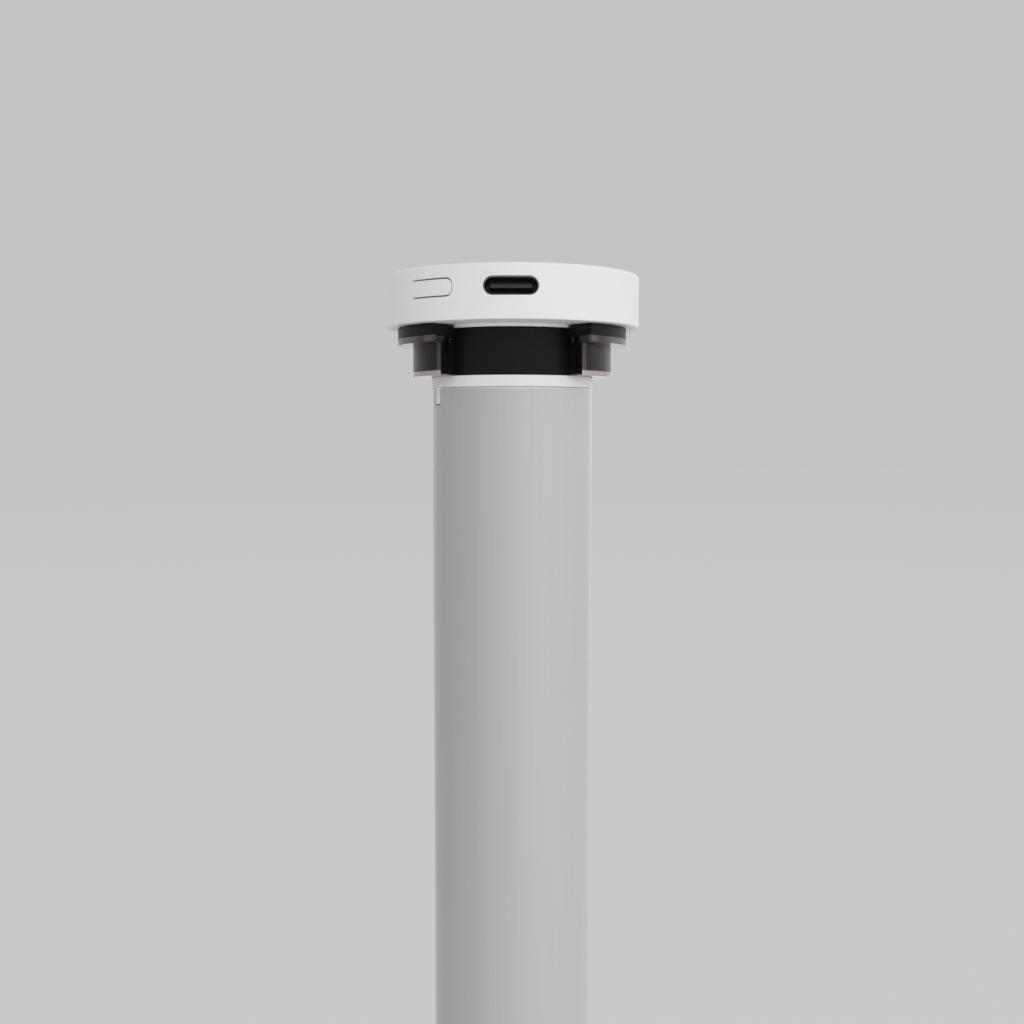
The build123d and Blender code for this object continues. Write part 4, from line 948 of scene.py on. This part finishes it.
def rib(angle):
    """Rib of the wheel: a slab on edge from the hub to the rim."""
    inner, outer = wheel_hub - rib_overlap, rim_inside + rib_overlap

    def standing(along, across, down):
        radius, beside = (inner + outer) / 2 + along, down - rib_thickness / 2
        x = radius * np.cos(angle) - beside * np.sin(angle)
        y = radius * np.sin(angle) + beside * np.cos(angle)
        return np.stack([x, y, wheel_middle + across], -1)

    height = wheel_top - wheel_bottom
    return slab(outer - inner, height, (rib_corner, rib_corner), rib_edge, rib_thickness, standing, 8, 8)


wheel_sheets = [ring(rim_line, rim_rounds), hub]
wheel_sheets += [rib(a) for a in np.radians(np.arange(0, 360, 60))]
for middle in (0, np.pi):
    wheel_sheets += stepped_lug(middle, wheel_bottom, wheel_lug_bottom, wheel_top)
tail_wheel = weld("tail_wheel", wheel_sheets)
fit(tail_wheel, black_nylon, "drive", "crown_black", "drive_wheel")
wheel_wall = [(seat_radius, wheel_top), (seat_radius, wheel_bottom + seat_bevel),
              (seat_radius - seat_bevel, wheel_bottom), (step_radius, wheel_bottom),
              (step_radius, wheel_lug_bottom)]
wheel_open = wheel_wall + [(lug_radius, wheel_lug_bottom), (lug_radius, wheel_top), (lug_radius, wheel_top)]
wheel_closed = wheel_wall + [(step_radius, wheel_lug_bottom), (step_radius, wheel_top),
                             (lug_radius, wheel_top)]
wheel_zones = [
    (-shoe_half, -lug_half, step_steps, wheel_closed),
    (-lug_half, lug_half, lug_steps, wheel_open),
    (lug_half, shoe_half, step_steps, wheel_closed),
]
for side, middle in (("right", 0), ("left", np.pi)):
    make_shoe(f"wheel_shoe_{side}", middle, wheel_zones, smoky_urethane, "drive", f"wheel_damper_{side}")


# Pieces inside the head and the tube, whose solids already have the right shape. Each kind of
# material is finished once here and given to the pieces that are made of it.
def dress(name, first, second, scale, stretch, metallic, roughness, depth, *nodes):
    """Finish of one material: two shades and a gloss that follow one grain, and its relief. It
    takes the place of the plain finish of some solids."""
    finish, make = begin_finish(name)
    tone = grain(make, scale, 3, stretch)
    close_finish(make, tone, depth, 0.4, {
        "Base Color": blend_colours(make, tone, first, second),
        "Metallic": metallic,
        "Roughness": roughness + 0.12 * tone,
    })
    for node in nodes:
        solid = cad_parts[node]
        solid.data.materials.clear()
        solid.data.materials.append(finish)


dress("moulded_black", (0.012, 0.012, 0.013), (0.02, 0.02, 0.021), 2400, (1, 1, 1), 0.0, 0.42, 0.02,
      "neck", "switch_plunger", "battery_carrier", "tact_switch", "gear_housing")
dress("turned_steel", (0.46, 0.46, 0.47), (0.56, 0.56, 0.57), 1800, (1, 1, 0.05), 1.0, 0.26, 0.01,
      "neck_screws", "output_shaft", "motor_shaft", "retaining_clip", "motor_plate")
dress("green_laminate", (0.01, 0.09, 0.035), (0.015, 0.12, 0.05), 1500, (1, 1, 1), 0.0, 0.32, 0.02,
      "head_board", "control_board", "protection_board", "sensor_board")
dress("tinned_cans", (0.55, 0.55, 0.54), (0.66, 0.66, 0.65), 900, (1, 1, 1), 1.0, 0.3, 0.01,
      "radio_module", "end_bell", "motor_can")
dress("part_black", (0.02, 0.02, 0.022), (0.035, 0.035, 0.037), 1700, (1, 1, 1), 0.0, 0.5, 0.02,
      "board_parts")
dress("cell_sleeve", (0.02, 0.10, 0.34), (0.03, 0.14, 0.42), 400, (1, 1, 0.2), 0.0, 0.3, 0.02,
      "battery_cell_1", "battery_cell_2", "battery_cell_3")
dress("nickel_strip", (0.52, 0.50, 0.46), (0.62, 0.60, 0.56), 1200, (0.1, 1, 1), 1.0, 0.3, 0.01,
      "cell_tabs")
dress("grey_rubber", (0.03, 0.03, 0.032), (0.05, 0.05, 0.052), 1600, (1, 1, 1), 0.0, 0.65, 0.03,
      "rear_isolator", "front_isolator")
dress("ferrite", (0.03, 0.03, 0.033), (0.05, 0.05, 0.055), 1400, (1, 1, 1), 0.3, 0.45, 0.02,
      "motor_magnets", "encoder_magnet")
dress("brush_carbon", (0.015, 0.015, 0.016), (0.03, 0.03, 0.03), 2600, (1, 1, 1), 0.0, 0.6, 0.03,
      "brushes")
dress("sintered_bronze", (0.42, 0.24, 0.10), (0.52, 0.32, 0.15), 2600, (1, 1, 1), 1.0, 0.38, 0.02,
      "motor_bushes", "output_bush")
dress("silicon_steel", (0.20, 0.20, 0.21), (0.34, 0.34, 0.35), 2800, (0.02, 0.02, 1), 1.0, 0.38, 0.02,
      "rotor_core")
dress("enamelled_wire", (0.44, 0.15, 0.05), (0.62, 0.25, 0.09), 1500, (0.3, 0.3, 1), 0.8, 0.3, 0.05,
      "windings", "commutator")
dress("gear_nylon", (0.66, 0.63, 0.55), (0.72, 0.69, 0.61), 900, (1, 1, 1), 0.0, 0.4, 0.02,
      "motor_pinion", "gear_carrier_1", "gear_carrier_2",
      *[f"planet_{stage}_{k}" for stage in (1, 2, 3) for k in (1, 2, 3)])

# Studio: a round pale floor under soft light that comes a little more from the right and above.
# The floor and the air behind it show the camera one even grey, and the floor takes the shadow.
# In reflections the floor glows with painted light, brighter towards the right and the back.
# A camera below the floor sees through it.
floor_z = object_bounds()[0][2] / mm
ground_line = [(radius, floor_z) for radius in (0, 500, 9000)]
pale_floor = weld("pale_floor", [turned(ground_line, np.radians(np.linspace(0, 360, 97)))])
pale_floor.data.flip_normals()
fade_start = 1.5
fade_end = 6.0
near_grey = (0.578, 0.578, 0.578)
far_grey = (0.545, 0.545, 0.545)
glow_share = 0.85
floor_paint, make = begin_finish("floor_paint")
seen = make.node("LightPath", {}, {}, "Is Camera Ray")
mirrored = make.node("LightPath", {}, {}, "Is Glossy Ray")
seen = seen + make.node("LightPath", {}, {}, "Is Transmission Ray")
fibres = grain(make, 300, 2)
shade = blend_colours(make, fibres, (0.79, 0.79, 0.79), (0.81, 0.81, 0.81))
shade = make.node("BsdfDiffuse", {}, {"Color": shade})
away = make.node("VectorMath", {"operation": "LENGTH"}, {0: make.node("TexCoord", {}, {}, "Object")}, "Value")
away = make.node("MapRange", {}, {"Value": away, "From Min": fade_start, "From Max": fade_end})
pale = blend_colours(make, away, near_grey, far_grey)
# Painted reflection: to glossy rays the floor glows brighter towards the right and the back.
way = make.node("VectorMath", {"operation": "NORMALIZE"}, {0: make.node("TexCoord", {}, {}, "Object")})
rightward = make.node("VectorMath", {"operation": "DOT_PRODUCT"}, {0: way, 1: (0.87, -0.5, 0)}, "Value")
backward = make.node("VectorMath", {"operation": "DOT_PRODUCT"}, {0: way, 1: (0, 1, 0)}, "Value")
backward = make.node("Clamp", {}, {"Value": 3 * backward - 2})
painted_reflection = blend_colours(make, 0.5 + 0.5 * rightward + 0.35 * backward, (0.42, 0.42, 0.42), (0.96, 0.96, 0.96))
pale = make.node("Mix", {"data_type": "RGBA"}, {0: mirrored, 6: pale, 7: painted_reflection}, 2)
glow = make.node("Emission", {}, {"Color": pale, "Strength": 1.0})
share = make.node("Clamp", {}, {"Value": glow_share * seen + glow_share * mirrored})
paint = make.node("MixShader", {}, {0: share, 1: shade, 2: glow})
beneath = make.node("NewGeometry", {}, {}, "Backfacing") * seen
make.node("OutputMaterial", {}, {"Surface": make.node(
    "MixShader", {}, {0: beneath, 1: paint, 2: make.node("BsdfTransparent", {}, {})})})
pale_floor.data.materials.append(floor_paint)

sky_level = 0.70
sky_swing = 0.24
backdrop_grey = 0.551
world = bpy.data.worlds.new("studio")
bpy.context.scene.world = world
world.use_nodes = True
world.node_tree.nodes.clear()
make = Wire(world.node_tree)
way = make.node("TexCoord", {}, {}, "Generated")
rightward = make.node("VectorMath", {"operation": "DOT_PRODUCT"}, {0: way, 1: (0.82, -0.47, 0.32)}, "Value")
backward = make.node("VectorMath", {"operation": "DOT_PRODUCT"}, {0: way, 1: (0, 1, 0)}, "Value")
backward = make.node("Clamp", {}, {"Value": 3 * backward - 2})
seen = make.node("LightPath", {}, {}, "Is Camera Ray") + make.node("LightPath", {}, {}, "Is Transmission Ray")
light = sky_level + sky_swing * rightward + sky_swing * backward
light = light + make.node("Clamp", {}, {"Value": seen}) * (backdrop_grey - light)
backdrop = make.node("Background", {}, {"Color": (1, 1, 1, 1), "Strength": light})
make.node("OutputWorld", {}, {"Surface": backdrop})

# One square soft box, in front on the right, lights the object without a mirror image of its own
# in the metal.
box_place = np.array([0.55, -0.95, 0.2])
box_aim = np.array([0, 0, -0.06])
lamp = bpy.data.lights.new("front_right_box", "AREA")
lamp.shape = "RECTANGLE"
lamp.size = lamp.size_y = 1.1
lamp.energy = 2.4
soft_box = bpy.data.objects.new("front_right_box", lamp)
bpy.context.scene.collection.objects.link(soft_box)
soft_box.location = box_place
soft_box.visible_glossy = False
way = box_aim - box_place
tilt = np.arctan2(np.hypot(way[0], way[1]), -way[2])
soft_box.rotation_euler = (tilt, 0, np.arctan2(way[1], way[0]) - np.pi / 2)

# Camera: a fifth of a metre in front and 20 mm below the port, where it sees the head's
# underside. It looks slightly down, as the photograph was taken.
camera = bpy.data.cameras.new("camera")
camera.lens = 40.92
camera.sensor_width = 36
viewer = bpy.data.objects.new("camera", camera)
viewer.location = (0.00154, -0.20549, -0.02419)
viewer.rotation_euler = (np.radians(85.37), 0, np.radians(0.43))
bpy.context.scene.collection.objects.link(viewer)
bpy.context.scene.camera = viewer
bpy.context.scene.view_settings.view_transform = "Standard"
